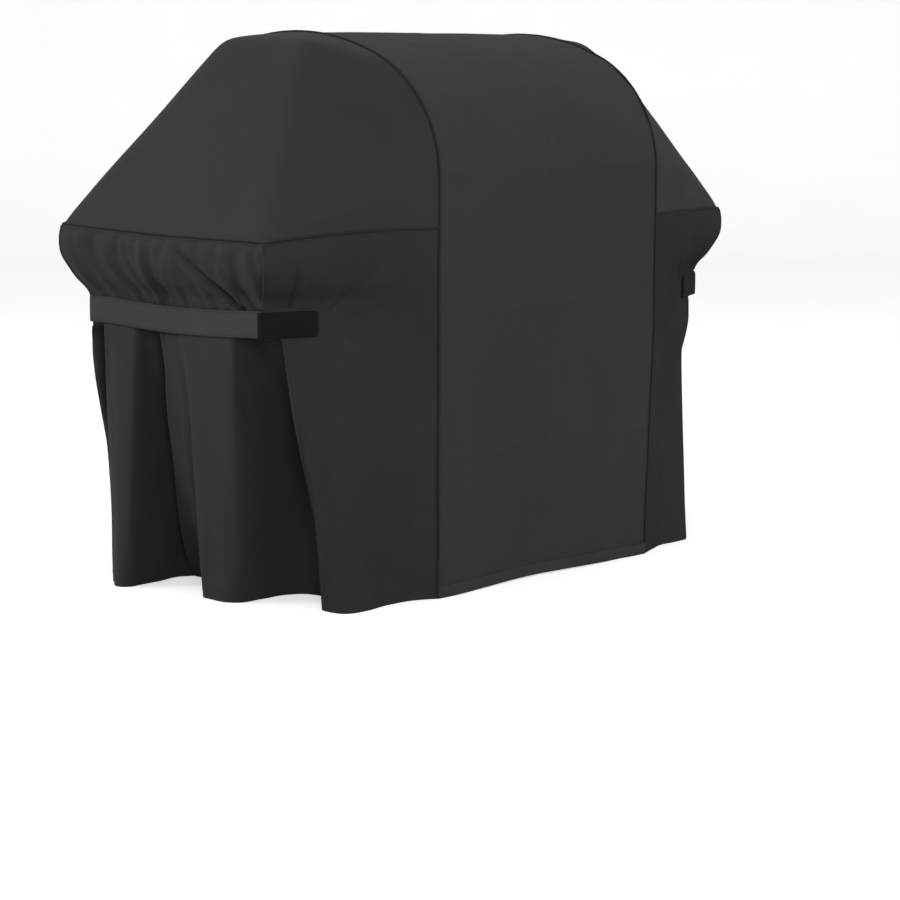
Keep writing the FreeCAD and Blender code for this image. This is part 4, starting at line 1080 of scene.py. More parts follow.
def end_relief(side, z, share, hem_share, total):
    """How far each point of the end skirt stands out from its plan."""
    seed = SIDES[side]["seed"]
    edge = np.minimum(hem_share, 1 - hem_share) * total
    below_seam = SHELF_Z - z
    inner = ease(edge, 0.0, 0.03)
    waist_width = 2 * WAIST_Y
    across, run = share * waist_width, hem_share * total
    # full between the seam and the strap
    lean = across + 0.10 * (z - 0.66)
    lumps = (noise1(lean, 0.055, 60 + seed) * 0.0045 + noise1(lean, 0.027, 63 + seed) * 0.0040)
    full = ease(z, WAIST_HIGH + 0.004, 0.66) * ease(below_seam, 0.0, 0.03)
    push = full * inner * (0.0055 + lumps)
    for top_share, top_z, strap_share, depth, width in CREASES[side]:
        t = np.clip((z - WAIST_HIGH) / (top_z - WAIST_HIGH), 0, 1.3)
        centre = strap_share + (top_share - strap_share) * (t ** 0.85) + 0.004 * np.sin(t * 5)
        depth = depth * 1.35
        width = width * 1.2 * (0.75 + 0.5 * t)
        dx = (share - centre) * waist_width
        strength = np.where(z > WAIST_HIGH - 0.01, ease(1.10 - t, 0.0, 0.30), 0)
        strength = strength * (0.75 + 0.25 * ease(0.6 - t, 0, 0.6))
        # a sharp drop on one side of the line, a soft swell on the other
        drop = (ease(-dx, -0.65 * width, 1.00 * width)
                * np.exp(-np.maximum(-dx - 1.00 * width, 0) / (4.0 * width)))
        swell = bell((dx - 0.7 * width) / (1.3 * width))
        push += strength * depth * (-0.95 * drop + 0.30 * swell)
        # the deepest fold pinches to a narrow gutter at its foot
        if depth > 0.010:
            gutter = bell((dx + 0.95 * width) / (0.0052 + 0.0010 * t))
            push += -strength * (0.0074 - 0.0022 * t) * gutter
    for centre, depth in GATHERS[side]:
        dx = (share - centre) * waist_width + 0.05 * (z - 0.72)
        push += (-depth * bell(dx / 0.0095) * ease(below_seam, 0.004, 0.020)
                 * ease(z, 0.655, 0.705) * inner)
    # tight gathers where the strap bites, above and below it
    phase = across / 0.0165 + 1.4 * noise1(across, 0.03, 66 + seed)
    tuck = ((np.abs(np.sin(phase * math.pi / 2)) - 0.6)
            * (0.75 + 0.5 * noise1(across, 0.05, 68 + seed)))
    above = np.exp(-np.maximum(z - WAIST_HIGH, 0) / 0.022) * (z >= STRAP_MID)
    below = np.exp(-np.maximum(WAIST_LOW - z, 0) / 0.055) * (z < STRAP_MID)
    under_strap = (ease(z, WAIST_LOW - 0.003, WAIST_LOW + 0.004)
                   * (1 - ease(z, WAIST_HIGH - 0.004, WAIST_HIGH + 0.003)))
    push += 0.0034 * tuck * (0.7 * above + 0.35 * below) * (1 - 0.85 * under_strap) * inner
    # long soft flutes and drape down the folds
    flat = np.stack([run, z, z * 0], -1)
    push += inner * ease(WAIST_LOW - z, 0.0, 0.25) * (
        0.0035 * noise1(run + 0.04 * np.sin(z * 7), 0.055, 70 + seed)
        + 0.0022 * noise3(flat, (0.10, 0.17, 1.0), 74 + seed))
    push += (inner * ease(WAIST_LOW - z, 0, 0.05) * 0.0016
             * noise3(flat, (0.035, 0.12, 1.0), 76 + seed))
    # the strap presses the cloth flat
    press = (ease(z, WAIST_LOW - 0.006, WAIST_LOW + 0.002)
             * (1 - ease(z, WAIST_HIGH - 0.002, WAIST_HIGH + 0.006)))
    push = np.where(press > 0, push * (1 - press) + np.minimum(push, 0.0012) * press, push)
    return push + (groove(below_seam) + groove(edge, depth=0.0009)
                   + pucker(below_seam, across * 1.5, 80 + seed, amount=0.0012)
                   + pucker(edge, z, 84 + seed))


def end_skirt(side):
    spec = SIDES[side]
    mirror = np.array([spec["sign"], 1, 1])
    (front_x, front_y), (back_x, back_y) = spec["front"], spec["back"]
    table = np.array([(front_x, -front_y, 0.0)] + FOLDS[side] + [(back_x, back_y, 1.0)])
    outline = catmull(table[:, :2])
    chord = arc_length(outline)
    total = chord[-1]
    hem_share = refined(total, CELL * 0.5) / total
    hem = at(hem_share * total, chord, outline)
    knots = chord[::CURVE_STEPS] / total
    share = curve(np.stack([knots, table[:, 2]], -1), hem_share)[:, 0]
    share = np.maximum.accumulate(share)
    share = (share - share[0]) / (share[-1] - share[0])
    top_row = shelf_line(side, "end", share) * mirror

    z, share = np.meshgrid(ROW_Z, share, indexing="ij")
    hem_share = np.broadcast_to(hem_share[None], z.shape)
    height = z - droop(side, "end", share) * droop_share(z)
    grid = np.concatenate([end_plan(side, z, share, hem_share, hem), height[..., None]], -1)
    grid[0] = top_row
    bow = 0.003 * np.sin(math.pi * share) * ease(z, 0.64, SHELF_Z)
    grid[1:, :, 0] += bow[1:]
    outward = normals(grid)
    if outward[len(ROW_Z) // 4, :, 0].sum() < 0:
        outward = -outward
    grid = grid + outward * end_relief(side, z, share, hem_share, total)[..., None]
    grid[0] = top_row
    grid[1:, :, 2] = np.maximum(grid[1:, :, 2], MIN_Z)
    grid[:, 0, :2] = corner_edge(side, 0)[:, 0]
    grid[:, -1, :2] = corner_edge(side, 1)[:, 0]
    return orient(grid * mirror, [spec["sign"], 0, 0])


# ---------------------------------------------------------------- front and back skirts
# hem from the foot of the arch seam to the corner seam, as (reach, distance from y = 0);
# the front ones roll round their corner
HEMS = {
    ("left", 0): [(0.408, 0.3455), (0.468, 0.339), (0.540, 0.3475), (0.583, 0.3445),
                  (0.600, 0.334), (0.6045, 0.316), (0.603, 0.296), (0.596, 0.276), (0.572, 0.262)],
    ("left", 1): [(0.400, 0.356), (0.450, 0.345), (0.500, 0.352), (0.545, 0.352), (0.580, 0.330)],
    ("right", 0): [(0.410, 0.352), (0.470, 0.337), (0.530, 0.334), (0.568, 0.334),
                   (0.585, 0.324), (0.590, 0.306), (0.588, 0.287), (0.580, 0.268), (0.560, 0.255)],
    ("right", 1): [(0.410, 0.360), (0.460, 0.349), (0.515, 0.340), (0.560, 0.344), (0.590, 0.330)],
}
# pulls that fan out from the tab's end: (angle, angular width, strength)
FAN = ((0.62, 0.07, 1.0), (-0.50, 0.08, 0.9), (0.15, 0.06, 0.45), (-1.02, 0.09, 0.7),
       (1.15, 0.09, 0.6))


def side_relief(seed, grid, z, u, wide):
    """How far each point of a front or back skirt stands out from its plan."""
    inner = ease(np.minimum(u, 1 - u), 0, 0.06)
    from_arch, from_corner, below_seam = u * wide, (1 - u) * wide, SHELF_Z - z
    # slow unevenness, and flutes low down
    push = inner * (0.0020 * noise3(grid, (0.2, 0.2, 0.26), seed)
                    + 0.0009 * noise3(grid, (0.08, 0.08, 0.11), seed + 1))
    push += (inner * ease(0.60 - z, 0, 0.60) * 0.0026
             * noise1(from_arch + 0.02 * np.sin(z * 6), 0.06, seed + 2))
    # the fan of pulls, with a ridge above and below it
    dx, dz = (u - (1 - 0.118 / wide)) * wide, z - STRAP_MID
    reach = np.hypot(dx, dz) + 1e-6
    angle = np.arctan2(dz, -dx)
    fan = sum(strength * bell((angle - centre) / width) for centre, width, strength in FAN)
    start = ease(reach, 0.012, 0.05)
    push += -0.0030 * fan * start * np.exp(-reach / 0.16) * inner
    ridges = bell((angle - 0.80) / 0.1) + bell((angle + 0.68) / 0.1)
    push += 0.0016 * ridges * start * np.exp(-reach / 0.18) * inner
    # fullness above the tab, a slanting fold in it, gathers at the tab's edges
    near = bell(from_corner / 0.13)
    push += (0.0050 * near * ease(z, WAIST_HIGH, 0.655) * ease(below_seam, 0, 0.04) * inner)
    slant = from_corner - (z - WAIST_HIGH) * 0.22
    fold = -0.0062 * bell((slant - 0.062) / 0.0070) + 0.0034 * bell((slant - 0.083) / 0.011)
    push += (fold * ease(z, WAIST_HIGH - 0.005, WAIST_HIGH + 0.01)
             * ease(0.70 - z, 0, 0.06) * inner)
    push += (0.0020 * np.sin(from_corner / 0.0072 + 2 * noise1(from_corner, 0.03, seed))
             * np.exp(-np.abs(dz) / 0.045) * near * inner
             * (1 - ease(0.034 - np.abs(dz), 0, 0.008)))
    # under the tab the cloth lies flat
    flat = ease(0.030 - np.abs(dz), 0, 0.006) * ease(0.150 - from_corner, 0, 0.03)
    return push * (1 - flat) + (
        groove(from_arch) + groove(from_corner, depth=0.0009) + groove(below_seam)
        + pucker(from_arch, z, seed + 4) + pucker(from_corner, z, seed + 5)
        + pucker(below_seam, from_arch, seed + 6, amount=0.0008))


def side_skirt(side, back):
    """Grid of the front or back skirt, from the arch seam to the corner seam."""
    spec = SIDES[side]
    sign, facing = spec["sign"], 1 if back else -1
    mirror = np.array([sign, 1, 1])
    wide = math.hypot(HALF_LENGTH - HALF_WIDTH, HALF_DEPTH - HALF_END)
    columns = refined(wide, CELL) / wide
    z, u = np.meshgrid(ROW_Z, columns, indexing="ij")
    seam_x, seam_y = seam_point(sign, back, ROW_Z)
    first = np.stack([sign * seam_x, seam_y], -1)[:, None]
    last = corner_edge(side, back)
    plan = first + (last - first) * u[..., None]
    # below the strap the hem's shape grows in
    foot0, foot1 = np.abs(first[-1, 0]), np.abs(last[-1, 0])
    outline = catmull([tuple(foot0)] + HEMS[side, back] + [tuple(foot1)])
    chord = arc_length(outline)
    hem = at(columns, chord / chord[-1], outline)
    bend = (hem - (foot0 + (foot1 - foot0) * columns[:, None])) * np.array([1, facing])
    bend_top = WAIST_LOW - 0.001
    plan = plan + bend[None] * np.clip((bend_top - z) / bend_top, 0, 1)[..., None] ** 0.95
    part = "back" if back else "front"
    height = z - droop(side, part, u) * droop_share(z)
    grid = np.concatenate([plan, height[..., None]], -1)
    outward = normals(grid)
    if (outward[..., 1] * facing).sum() < 0:
        outward = -outward
    seed = 90 + spec["seed"] * 5 + 2 * back
    grid = grid + outward * side_relief(seed, grid, z, u, wide)[..., None]
    grid[0] = shelf_line(side, part, columns) * mirror
    grid[1:, :, 2] = np.maximum(grid[1:, :, 2], MIN_Z)
    grid[:, 0, :2], grid[:, -1, :2] = first[:, 0], last[:, 0]
    return orient(grid * mirror, [0, facing, 0])


SKIRT = {}
for side in SIDES:
    SKIRT[side, "end"] = end_skirt(side)
    SKIRT[side, "front"] = side_skirt(side, 0)
    SKIRT[side, "back"] = side_skirt(side, 1)
    # the front and back skirts take the copy of the cloth with painted light in its tone
    for part, cloth in (("end", CLOTH), ("front", SKIRT_PAINTED_LIGHT_CLOTH), ("back", SKIRT_PAINTED_LIGHT_CLOTH)):
        place(sheet(f"{side}_{part}_skirt_cloth", hemmed(SKIRT[side, part], ROW_Z),
                    [cloth, LINING]), f"{side}_{part}_skirt")
    for part in ("end", "front", "back"):
        _grid = SKIRT[side, part]
        _normal = normals(_grid)
        for row in (skirt_row(HEM_STITCH), skirt_row(SHELF_Z - 0.0065)):
            add_stitches(topstitches, *grid_line(
                _grid, row, np.linspace(0, _grid.shape[1] - 1, 1500), _normal))


# ---------------------------------------------------------------- shelf piping
def shelf_piping(side):
    path = np.vstack([shelf_line(side, "front", np.linspace(0.004, 1, 90)),
                      shelf_line(side, "end", np.linspace(0, 1, 120))[1:],
                      shelf_line(side, "back", np.linspace(1, 0.004, 90))[1:]])
    path = resample(path, step=0.0045)
    # round the corners a little and stand the cord off the seam
    for _ in range(6):
        path[1:-1] = 0.5 * path[1:-1] + 0.25 * (path[:-2] + path[2:])
    outward = unit(np.cross(np.gradient(path, axis=0), UP))
    from_middle = path - np.array([SIDES[side]["sign"] * 0.45, 0, 0])
    outward *= np.sign((outward * from_middle).sum(1))[:, None]
    sway = 0.0003 * noise1(arc_length(path), 0.02, 12)
    verts, faces, uv = tube_arrays(path + outward * 0.0007 + UP * sway[:, None], 0.0019, start=UP)
    return make(f"{side}_shelf_piping_cord", verts, faces, [PIPING], None, uv)


for side in SIDES:
    place(shelf_piping(side), f"{side}_shelf_piping")


# ---------------------------------------------------------------- binding tapes inside
def tape_grid(grid, rows, cols, shape, gap):
    """A tape laid inside a grid between fractional rows and columns."""
    row, col = np.meshgrid(np.linspace(*rows, shape[0]), np.linspace(*cols, shape[1]),
                           indexing="ij")
    point, normal = grid_line(grid, row.ravel(), col.ravel(), normals(grid))
    return (point - normal * (THICK + gap)).reshape(*shape, 3)


def add_tape(bag, tape, down_rows):
    """Adds a tape, U along its length: down the rows of its grid, or across them."""
    verts, faces, _, uv = sheet_arrays(tape, TAPE_THICK)
    bag.add(verts, faces, 0, uv[:, ::-1] if down_rows else uv)


def stitch_tape(bag, lanes, inward):
    """Two stitch rows along the inner face of a tape seven lanes wide."""
    for k in (1, 5):
        add_stitches(bag, lanes[k] + inward[k] * TAPE_THICK, inward[k], mat=1,
                     pitch=0.006, length=0.0044)


def arch_binding(side):
    sign = SIDES[side]["sign"]
    cols = sorted(centre_column(sign * (HALF_WIDTH - inset)) for inset in (0.0020, 0.0215))
    rows = centre_row(0.0280), centre_row(2 * HALF_ARCH - 0.0280)
    tape = tape_grid(CENTRE, rows, cols, (520, 7), gap=0.0004)
    bag = Bag()
    add_tape(bag, tape, down_rows=True)
    stitch_tape(bag, tape.swapaxes(0, 1), -normals(tape).swapaxes(0, 1))
    return bag.build(f"{side}_arch_seam_binding", [TAPE, THREAD_DARK])


def shelf_binding(side):
    rows = skirt_row(SHELF_Z - 0.0015), skirt_row(SHELF_Z - 0.0215)
    bag = Bag()
    for part in ("front", "end", "back"):
        grid = SKIRT[side, part]
        tape = tape_grid(grid, rows, (0.4, grid.shape[1] - 1.4), (7, 300), gap=0.0013)
        add_tape(bag, tape, down_rows=False)
        stitch_tape(bag, tape, -normals(tape))
    return bag.build(f"{side}_shelf_seam_binding", [TAPE, THREAD_DARK])


def corner_columns(side, back, grid, width=0.010, row=20):
    """The grid's column on the corner seam, and the one a tape's width from it."""
    seam = np.array([*corner(side, back, ROW_Z[row]), grid[row, 0, 2]])
    away = np.linalg.norm(grid[row] - seam, axis=-1)
    count = len(away)
    third = count // 3
    if away[0] < away[-1]:
        return 0.0, np.interp(width, away[:third], np.arange(third))
    return count - 1.0, np.interp(-width, -away[-third:], np.arange(count - third, count))


def corner_bindings(side):
    """Tapes folded into the front and back corner seams."""
    rows = skirt_row(SHELF_Z - 0.028), skirt_row(0.0285)
    bag = Bag()
    for back, part in ((0, "front"), (1, "back")):
        face, end = SKIRT[side, part], SKIRT[side, "end"]
        face_cols = corner_columns(side, back, face)[::-1]
        half0 = tape_grid(face, rows, face_cols, (260, 5), gap=0.0010)
        half1 = tape_grid(end, rows, corner_columns(side, back, end), (260, 5), gap=0.0010)
        fold = ((half0[:, -1] + half1[:, 0]) / 2)[:, None]
        tape = np.concatenate([half0[:, :-1], fold, half1[:, 1:]], 1)
        outward = [SIDES[side]["sign"], 0.6 if back else -0.6, 0]
        add_tape(bag, orient(tape, outward), down_rows=True)
    return bag.build(f"{side}_corner_seam_bindings", [TAPE])


for side in SIDES:
    place(arch_binding(side), f"{side}_arch_seam_tape")
    place(shelf_binding(side), f"{side}_shelf_seam_tape")
    place(corner_bindings(side), f"{side}_corner_seam_tapes")

# ---------------------------------------------------------------- straps
# places across a band, -1 at its lower edge to 1 at its upper, closer by the edges
_even = np.linspace(-1, 1, 15)
ACROSS = np.sign(_even) * (1 - (1 - np.abs(_even)) ** 1.35)
STITCH_DENT = bell((np.abs(np.abs(ACROSS) - 0.84) / 0.07))     # the dent along both edges


def fold_point(side, back):
    """Where the strap folds at a corner, and the way along the face to the arch seam."""
    low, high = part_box(f"{side}_strap")
    facing = 1 if back else -1
    along = unit([HALF_WIDTH - WAIST_X, HALF_DEPTH - WAIST_Y])
    return (np.array([(low.x + high.x) / 2, facing * STRAP_Y, 0.0]),
            np.array([SIDES[side]["sign"] * along[0], facing * along[1], 0]))


def wrap_path(before_dir, after_dir, fold, before, after, radius=0.004, step=0.003):
    """Mid line that comes in to the fold from before_dir, turns and leaves along after_dir."""
    start, end = before_dir * radius * 1.6, after_dir * radius * 1.6
    bend = [fold + start * (1 - t) ** 2 + end * t ** 2 for t in np.linspace(0, 1, 9)[1:-1]]
    return np.vstack([resample(np.array([fold + before_dir * before, fold + start]), step), bend,
                      resample(np.array([fold + end, fold + after_dir * after]), step)])


def path_normals(path, outward):
    normal = np.cross(unit(np.gradient(path, axis=0)), UP)
    normal *= np.sign((normal * outward).sum(1))[:, None]
    return unit(normal)


class Band:
    """A band standing on edge along a path, closed all round, with threads on its outer face."""

    def __init__(self, path, along, outward, width, thick, mid_z, camber, puff, taper=1.0):
        count = len(path)
        half = width / 2 * (np.ones(count) * taper)
        centre = (path[:, None] + UP * (ACROSS * half[:, None])[..., None]
                  + UP * np.broadcast_to(mid_z, count)[:, None, None])
        profile = thick / 2 * np.sqrt(np.clip(1 - np.abs(ACROSS) ** 14, 0.10, 1))
        rise = profile + (camber * (1 - ACROSS ** 2) + puff)
        self.outer = centre + outward[:, None] * rise[..., None]
        inner = centre - outward[:, None] * profile[:, None]
        loop = np.concatenate([self.outer, inner[:, ::-1]], 1)
        v = np.concatenate([ACROSS * width / 2, ACROSS[::-1] * width / 2 + 0.1])
        uv = np.stack(np.broadcast_arrays(arc_length(path)[:, None], v[None]), -1)
        self.bag = Bag()
        self.bag.add(loop, capped_faces(*loop.shape[:2]), 0, uv)
        self.along = along
        self.normal = np.broadcast_to(outward[:, None], self.outer.shape)

    def stitch_rows(self, rows, v, **thread_sizes):
        cols = np.interp(v, ACROSS, np.arange(len(ACROSS)))
        add_stitches(self.bag, *grid_line(self.outer, rows, cols, self.normal), mat=1,
                     **thread_sizes)

    def stitch_lines(self, lines, samples, **thread_sizes):
        """Lines from (distance, place across) to (distance, place across)."""
        k = np.linspace(0, 1, samples)
        for (u0, v0), (u1, v1) in lines:
            rows = np.interp(u0 + (u1 - u0) * k, self.along, np.arange(len(self.along)))
            self.stitch_rows(rows, v0 + (v1 - v0) * k, **thread_sizes)


def strap(side):
    """From its anchor on the back skirt, round the back corner, to the front corner."""
    sign, seed = SIDES[side]["sign"], SIDES[side]["seed"]
    anchor = 0.060
    fold, back_dir = fold_point(side, 1)
    path = wrap_path(back_dir, FORWARD, fold, anchor, 2 * STRAP_Y - 0.0012)
    along = arc_length(path)
    outward = path_normals(path, np.array([sign, 0.6, 0]))
    wave = (ease(along, 0.075, 0.14) * ease(along[-1] - along, 0.004, 0.05)
            * (0.0016 * noise1(along, 0.06, 31 + seed) + 0.0007 * noise1(along, 0.025, 33 + seed)))
    # it sags a little between the corners and rides up at the back
    t = np.clip((along - anchor) / (2 * STRAP_Y), 0, 1)
    mid_z = (STRAP_MID + 0.0045 * (1 - ease(t, 0.02, 0.45))
             - 0.0050 * np.sin(math.pi * np.clip((t - 0.15) / 0.85, 0, 1)) ** 1.2)
    mid_z = mid_z - (mid_z[-1] - STRAP_MID) * ease(t, 0.85, 1.0) + 0.0012
    ripple = 0.00025 * noise1(along, 0.012, 36 + seed)[:, None]
    puff = -0.00030 * STITCH_DENT + ripple * bell((1 - np.abs(ACROSS)) / 0.25)
    band = Band(path + outward * np.maximum(wave, -0.0006)[:, None], along, outward,
                width=STRAP_HIGH - STRAP_LOW + 0.003, thick=BAND_THICK, mid_z=mid_z,
                camber=0.0003, puff=puff)
    rows = np.linspace(0.6, len(path) - 1.6, 1800)
    for v in (-0.84, 0.84):
        band.stitch_rows(rows, v, pitch=0.0052, length=0.0038, radius=0.00045)
    # box and cross over the sewn end
    u0, u1, v1 = 0.005, 0.044, 0.66
    box = [((u0, -v1), (u0, v1)), ((u0, v1), (u1, v1)), ((u1, v1), (u1, -v1)),
           ((u1, -v1), (u0, -v1)), ((u0, -v1), (u1, v1)), ((u0, v1), (u1, -v1))]
    band.stitch_lines(box, samples=60, pitch=0.0045, length=0.0033, radius=0.00045)
    part = band.bag.build(f"{side}_strap_band", [STRAP, THREAD])
    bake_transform(part)
    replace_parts(part, f"{side}_strap", f"{side}_strap_anchor")


def tab(side):
    """Starts on the strap's front end, turns the corner and ends on the front skirt."""
    lap, length, corner_radius = 0.010, 0.119, 0.006
    fold, front_dir = fold_point(side, 0)
    path = wrap_path(-FORWARD, front_dir, fold, lap, length)
    along = arc_length(path)
    outward = path_normals(path, np.array([SIDES[side]["sign"], -0.6, 0]))
    path = path + outward * (0.0017 * (1 - ease(along, lap * 0.9, lap + 0.010)))[:, None]
    # refine the free end so that its corners round
    last = along[-1] - corner_radius
    curved = last + corner_radius * np.sin(np.linspace(0, math.pi / 2, 9))
    spots = np.unique(np.concatenate([along[:np.searchsorted(along, last)], curved]))
    path, outward = at(spots, along, path), unit(at(spots, along, outward))
    rest = spots[-1] - spots
    chord = np.sqrt(np.maximum(corner_radius**2 - (corner_radius - rest) ** 2, 0))
    cut = np.where(rest < corner_radius, corner_radius - chord, 0)
    width = STRAP_HIGH - STRAP_LOW
    band = Band(path, spots, outward, width=width, thick=BAND_THICK * 0.95, mid_z=STRAP_MID,
                camber=0.0002, puff=-0.00028 * STITCH_DENT,
                taper=1 - cut / (width / 2))
    end = spots[-1]
    border = [((0.003, -0.86), (end - 0.005, -0.86)),
              ((end - 0.0045, -0.82), (end - 0.0045, 0.82)),
              ((end - 0.005, 0.86), (0.003, 0.86)), ((0.0035, 0.8), (0.0035, -0.8))]
    band.stitch_lines(border, samples=400, pitch=0.0046, length=0.0034, radius=0.00042)
    part = band.bag.build(f"{side}_tab_webbing", [TAB, THREAD_DARK])
    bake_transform(part)
    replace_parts(part, f"{side}_strap_tab")


# ---------------------------------------------------------------- hook tapes and loop patches
class Patch:
    """A flat CAD pad on the front face: its extents, and points given along, out and up."""

    def __init__(self, side, node):
        self.fold, self.face_dir = fold_point(side, 0)
        out = np.array([-self.face_dir[1], self.face_dir[0], 0])
        self.out = out if out @ FORWARD > 0 else -out
        verts = cad_vertices(node)
        along, off = (verts - self.fold) @ self.face_dir, (verts - self.fold) @ self.out
        self.a0, self.a1 = along.min() + 0.0005, along.max() - 0.0005
        self.inner, self.outer = off.min(), off.max()
        self.z0, self.z1 = verts[:, 2].min(), verts[:, 2].max()
        self.bag = Bag()

    def point(self, along, off, z):
        along, off, z = (np.asarray(v)[..., None] for v in (along, off, z))
        return self.fold + self.face_dir * along + self.out * off + UP * z

    def mesh(self, step):
        """Grid positions over the pad, along and up."""
        return np.meshgrid(np.arange(self.a0, self.a1 + 1e-9, step),
                           np.arange(self.z0 + 0.0004, self.z1 - 0.0004 + 1e-9, step),
                           indexing="ij")

    def add_ground(self, grid, facing, thick):
        verts, faces, _, uv = sheet_arrays(orient(grid, self.out * facing), thick)
        self.bag.add(verts, faces, 0, uv)

    def stitch_border(self, off, facing, inset=0.0025):
        a0, a1, z0, z1 = self.a0 + inset, self.a1 - inset, self.z0 + inset, self.z1 - inset
        corners = [(a0, z0), (a1, z0), (a1, z1), (a0, z1), (a0, z0)]
        k = np.linspace(0, 1, 80)
        for (from_a, from_z), (to_a, to_z) in zip(corners[:-1], corners[1:]):
            path = self.point(from_a + (to_a - from_a) * k, off, from_z + (to_z - from_z) * k)
            add_stitches(self.bag, path, np.broadcast_to(self.out * facing, path.shape), mat=1,
                         pitch=0.0042, length=0.0031, radius=0.00036)


# one hook: (share of its height, sideways lean, radius)
HOOK_PROFILE = [(0.0, 0.0, 0.00022), (0.6, 0.0, 0.00016), (0.95, 0.00018, 0.00014),
                (0.85, 0.00042, 0.00010)]
HOOK_HEIGHT, HOOK_PITCH, HOOK_MARGIN, HOOK_SIDES = 0.00062, 0.0019, 0.002, 4


def hook_pad(side):
    """Ground tape behind the tab with rows of hooks that face the cover."""
    pad = Patch(side, f"{side}_hook_tape")
    ground = pad.outer - 0.0006
    along, z = pad.mesh(0.0016)
    pad.add_ground(pad.point(along, ground, z), facing=-1, thick=0.0005)
    columns = np.arange(pad.a0 + HOOK_MARGIN, pad.a1 - HOOK_MARGIN, HOOK_PITCH)
    heights = np.arange(pad.z0 + HOOK_MARGIN, pad.z1 - HOOK_MARGIN, HOOK_PITCH)
    along, z = (v.ravel() for v in np.meshgrid(columns, heights, indexing="ij"))
    random = np.random.RandomState(9 + SIDES[side]["seed"])
    root = pad.point(along, ground, z + random.uniform(-0.0001, 0.0001, len(z)))
    # neighbouring columns lean opposite ways
    way = np.repeat(np.where(np.arange(len(columns)) % 2, 1, -1), len(heights))
    lean = pad.face_dir * way[:, None]
    rings = [ring(root - pad.out * (share * HOOK_HEIGHT) + lean * shift, radius,
                  pad.face_dir, UP, HOOK_SIDES, phase=0.785)
             for share, shift, radius in HOOK_PROFILE]
    count, levels = len(root), len(HOOK_PROFILE)
    index = np.arange(count * levels * HOOK_SIDES).reshape(count, levels, HOOK_SIDES)
    faces = ring_quads(index) + index[:, -1].tolist() + index[:, 0, ::-1].tolist()
    pad.bag.add(np.stack(rings, 1), faces, 0)
    pad.stitch_border(pad.outer - 0.0011, facing=-1)
    return pad.bag.build(f"{side}_hook_tape_pad", [HOOK, THREAD_DARK])


def loop_pad(side):
    """Brushed pile on the front skirt."""
    pad = Patch(side, f"{side}_loop_patch")
    along, z = pad.mesh(0.0011)
    random = np.random.RandomState(5 + SIDES[side]["seed"])
    fuzz = (random.uniform(0, 1, along.shape) * 0.00045
            + 0.00025 * (noise3(np.stack([along, z, along * 0], -1), 0.005, 3) + 1))
    edge = np.minimum.reduce([along - pad.a0, pad.a1 - along, z - pad.z0, pad.z1 - z])
    off = pad.inner + 0.0004 + fuzz * ease(edge, 0, 0.003)
    pad.add_ground(pad.point(along, off, z), facing=1, thick=0.0004)
    pad.stitch_border(pad.inner + 0.0006, facing=1)
    return pad.bag.build(f"{side}_loop_patch_pad", [LOOP, THREAD_DARK])


for side in SIDES:
    strap(side)
    tab(side)
    place(hook_pad(side), f"{side}_hook_tape", body=f"{side}_tab")
    place(loop_pad(side), f"{side}_loop_patch")

# ---------------------------------------------------------------- corner cords and topstitching
# cords down the corner seams, broken where the strap crosses
_heights = np.linspace(SHELF_Z - 0.004, 0.004, 260)
for side, back in itertools.product(SIDES, (0, 1)):
    for z in (_heights[_heights > WAIST_HIGH + 0.004], _heights[_heights < WAIST_LOW - 0.006]):
        x, y = corner(side, back, z)
        away = np.stack([np.sign(x), np.sign(y), x * 0], -1) * 0.0004
        sagged = z - droop(side, "end", back) * droop_share(z)
        verts, faces, uv = tube_arrays(np.stack([x, y, sagged], -1) + away, 0.00135, sides=8,
                                       wobble=0.08)
        topstitches.add(verts, faces, 1, uv)
_threads = topstitches.build("seam_topstitching", [THREAD, CLOTH])
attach(_threads, "cover")


# ---------------------------------------------------------------- stage, light and camera
def stage_mesh():
    """A floor that sweeps up into the backdrop, seen from the camera's side."""
    half_width, flat, radius, yaw = 14, 9.0, 3.0, 0.8812
    profile = [(-14.0, 0.0), (flat, 0.0)]       # (distance, height)
    profile += [(flat + radius * math.sin(a), radius - radius * math.cos(a))
                for a in np.linspace(0.1, math.pi / 2, 14)]
    profile.append((flat + radius, 9.0))
    ahead = (math.sin(yaw), math.cos(yaw))
    right = (ahead[1], -ahead[0])
    bm = bmesh.new()
    rows = [[bm.verts.new((ahead[0] * far + right[0] * w, ahead[1] * far + right[1] * w,
                           height - 0.0002)) for w in (-half_width, half_width)]
            for far, height in profile]
    for row, following in zip(rows[:-1], rows[1:]):
        bm.faces.new((row[0], row[1], following[1], following[0]))
    mesh = bpy.data.meshes.new("studio_floor")
    bm.to_mesh(mesh)
    bm.free()
    mesh.polygons.foreach_set("use_smooth", [True] * len(mesh.polygons))
    floor = bpy.data.objects.new("studio_floor", mesh)
    bpy.context.scene.collection.objects.link(floor)
    mesh.materials.append(paper())
    return floor


def paper():
    """Lit on its own, so that it reads as white without spilling on the cloth."""
    g = Shader("studio_paper")
    cloud = g.noise(g.coords()[1], scale=3.0, detail=4.0)
    seen = g.node("ShaderNodeLightPath").outputs["Is Camera Ray"]
    white = g.mix(g.remap(cloud), grey(0.86), grey(0.89))
    g.set(Base_Color=g.mix(seen, grey(0.42), white), Roughness=0.9, Specular_IOR_Level=0.1,
          Emission_Color=grey(1), Emission_Strength=g.calc("MULTIPLY", seen, 0.52))
    return g.material


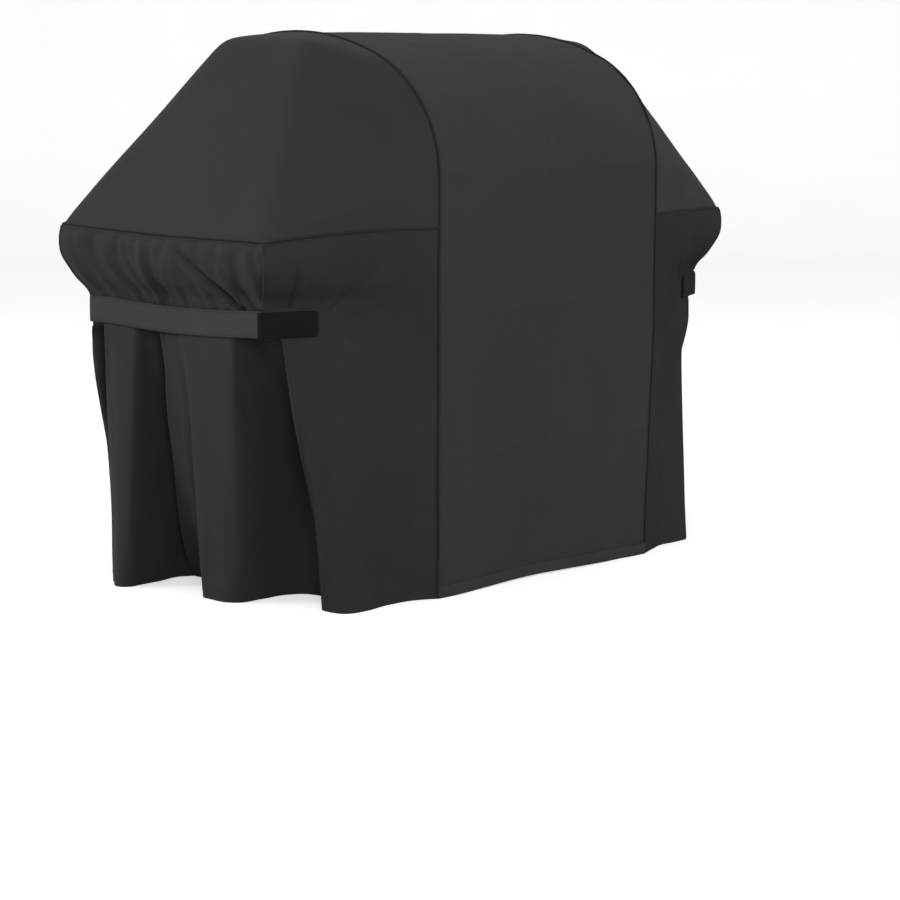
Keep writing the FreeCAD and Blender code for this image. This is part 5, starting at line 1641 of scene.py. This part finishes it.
def area(name, location, target, size, power):
    light = bpy.data.lights.new(name, "AREA")
    light.shape = "RECTANGLE"
    light.size, light.size_y = size
    light.energy = power
    lamp = bpy.data.objects.new(name, light)
    lamp.location = location
    aim = Vector(target) - Vector(location)
    lamp.rotation_euler = aim.to_track_quat("-Z", "Y").to_euler()
    bpy.context.scene.collection.objects.link(lamp)


def white_world(lighting, seen):
    """White all round: one strength as light, another where the camera sees it."""
    world = bpy.data.worlds.new("studio")
    bpy.context.scene.world = world
    world.use_nodes = True
    tree = world.node_tree
    background = tree.nodes["Background"]
    background.inputs[0].default_value = (1.0, 1.0, 1.0, 1.0)
    path = tree.nodes.new("ShaderNodeLightPath")
    strength = tree.nodes.new("ShaderNodeMapRange")
    tree.links.new(path.outputs["Is Camera Ray"], strength.inputs["Value"])
    strength.inputs["To Min"].default_value = lighting
    strength.inputs["To Max"].default_value = seen
    tree.links.new(strength.outputs["Result"], background.inputs[1])


def camera(eye, yaw, pitch, roll, lens):
    """Angles in radians: yaw from +Y towards +X, pitch downwards."""
    ahead = Vector((math.sin(yaw) * math.cos(pitch), math.cos(yaw) * math.cos(pitch),
                    -math.sin(pitch)))
    level = Vector((math.cos(yaw), -math.sin(yaw), 0))
    upright = level.cross(ahead)
    right = math.cos(roll) * level + math.sin(roll) * upright
    up = -math.sin(roll) * level + math.cos(roll) * upright
    data = bpy.data.cameras.new("camera")
    data.sensor_width = 36.0
    data.lens = lens
    data.clip_end = 50
    cam = bpy.data.objects.new("camera", data)
    matrix = Matrix.Identity(4)
    for i in range(3):
        matrix[i][:] = right[i], up[i], -ahead[i], eye[i]
    cam.matrix_world = matrix
    bpy.context.scene.collection.objects.link(cam)
    bpy.context.scene.camera = cam


stage_mesh()
area("key_camera_side", location=(-4.3, -3.7, 2.2), target=(0, 0, 0.5), size=(1.6, 1.6), power=110)
area("rim_left", location=(-3.8, 2.8, 2.2), target=(0, 0, 0.6), size=(1.6, 1.6), power=84)
area("fill_right", location=(2.6, -5.0, 2.4), target=(0, 0, 0.6), size=(2.4, 2.2), power=92)
white_world(lighting=0.54, seen=1.0)
bpy.context.scene.view_settings.view_transform = "Standard"
camera(eye=(-4.7108, -3.9937, 1.0791), yaw=0.88122, pitch=0.13622, roll=0.005405, lens=114.546)
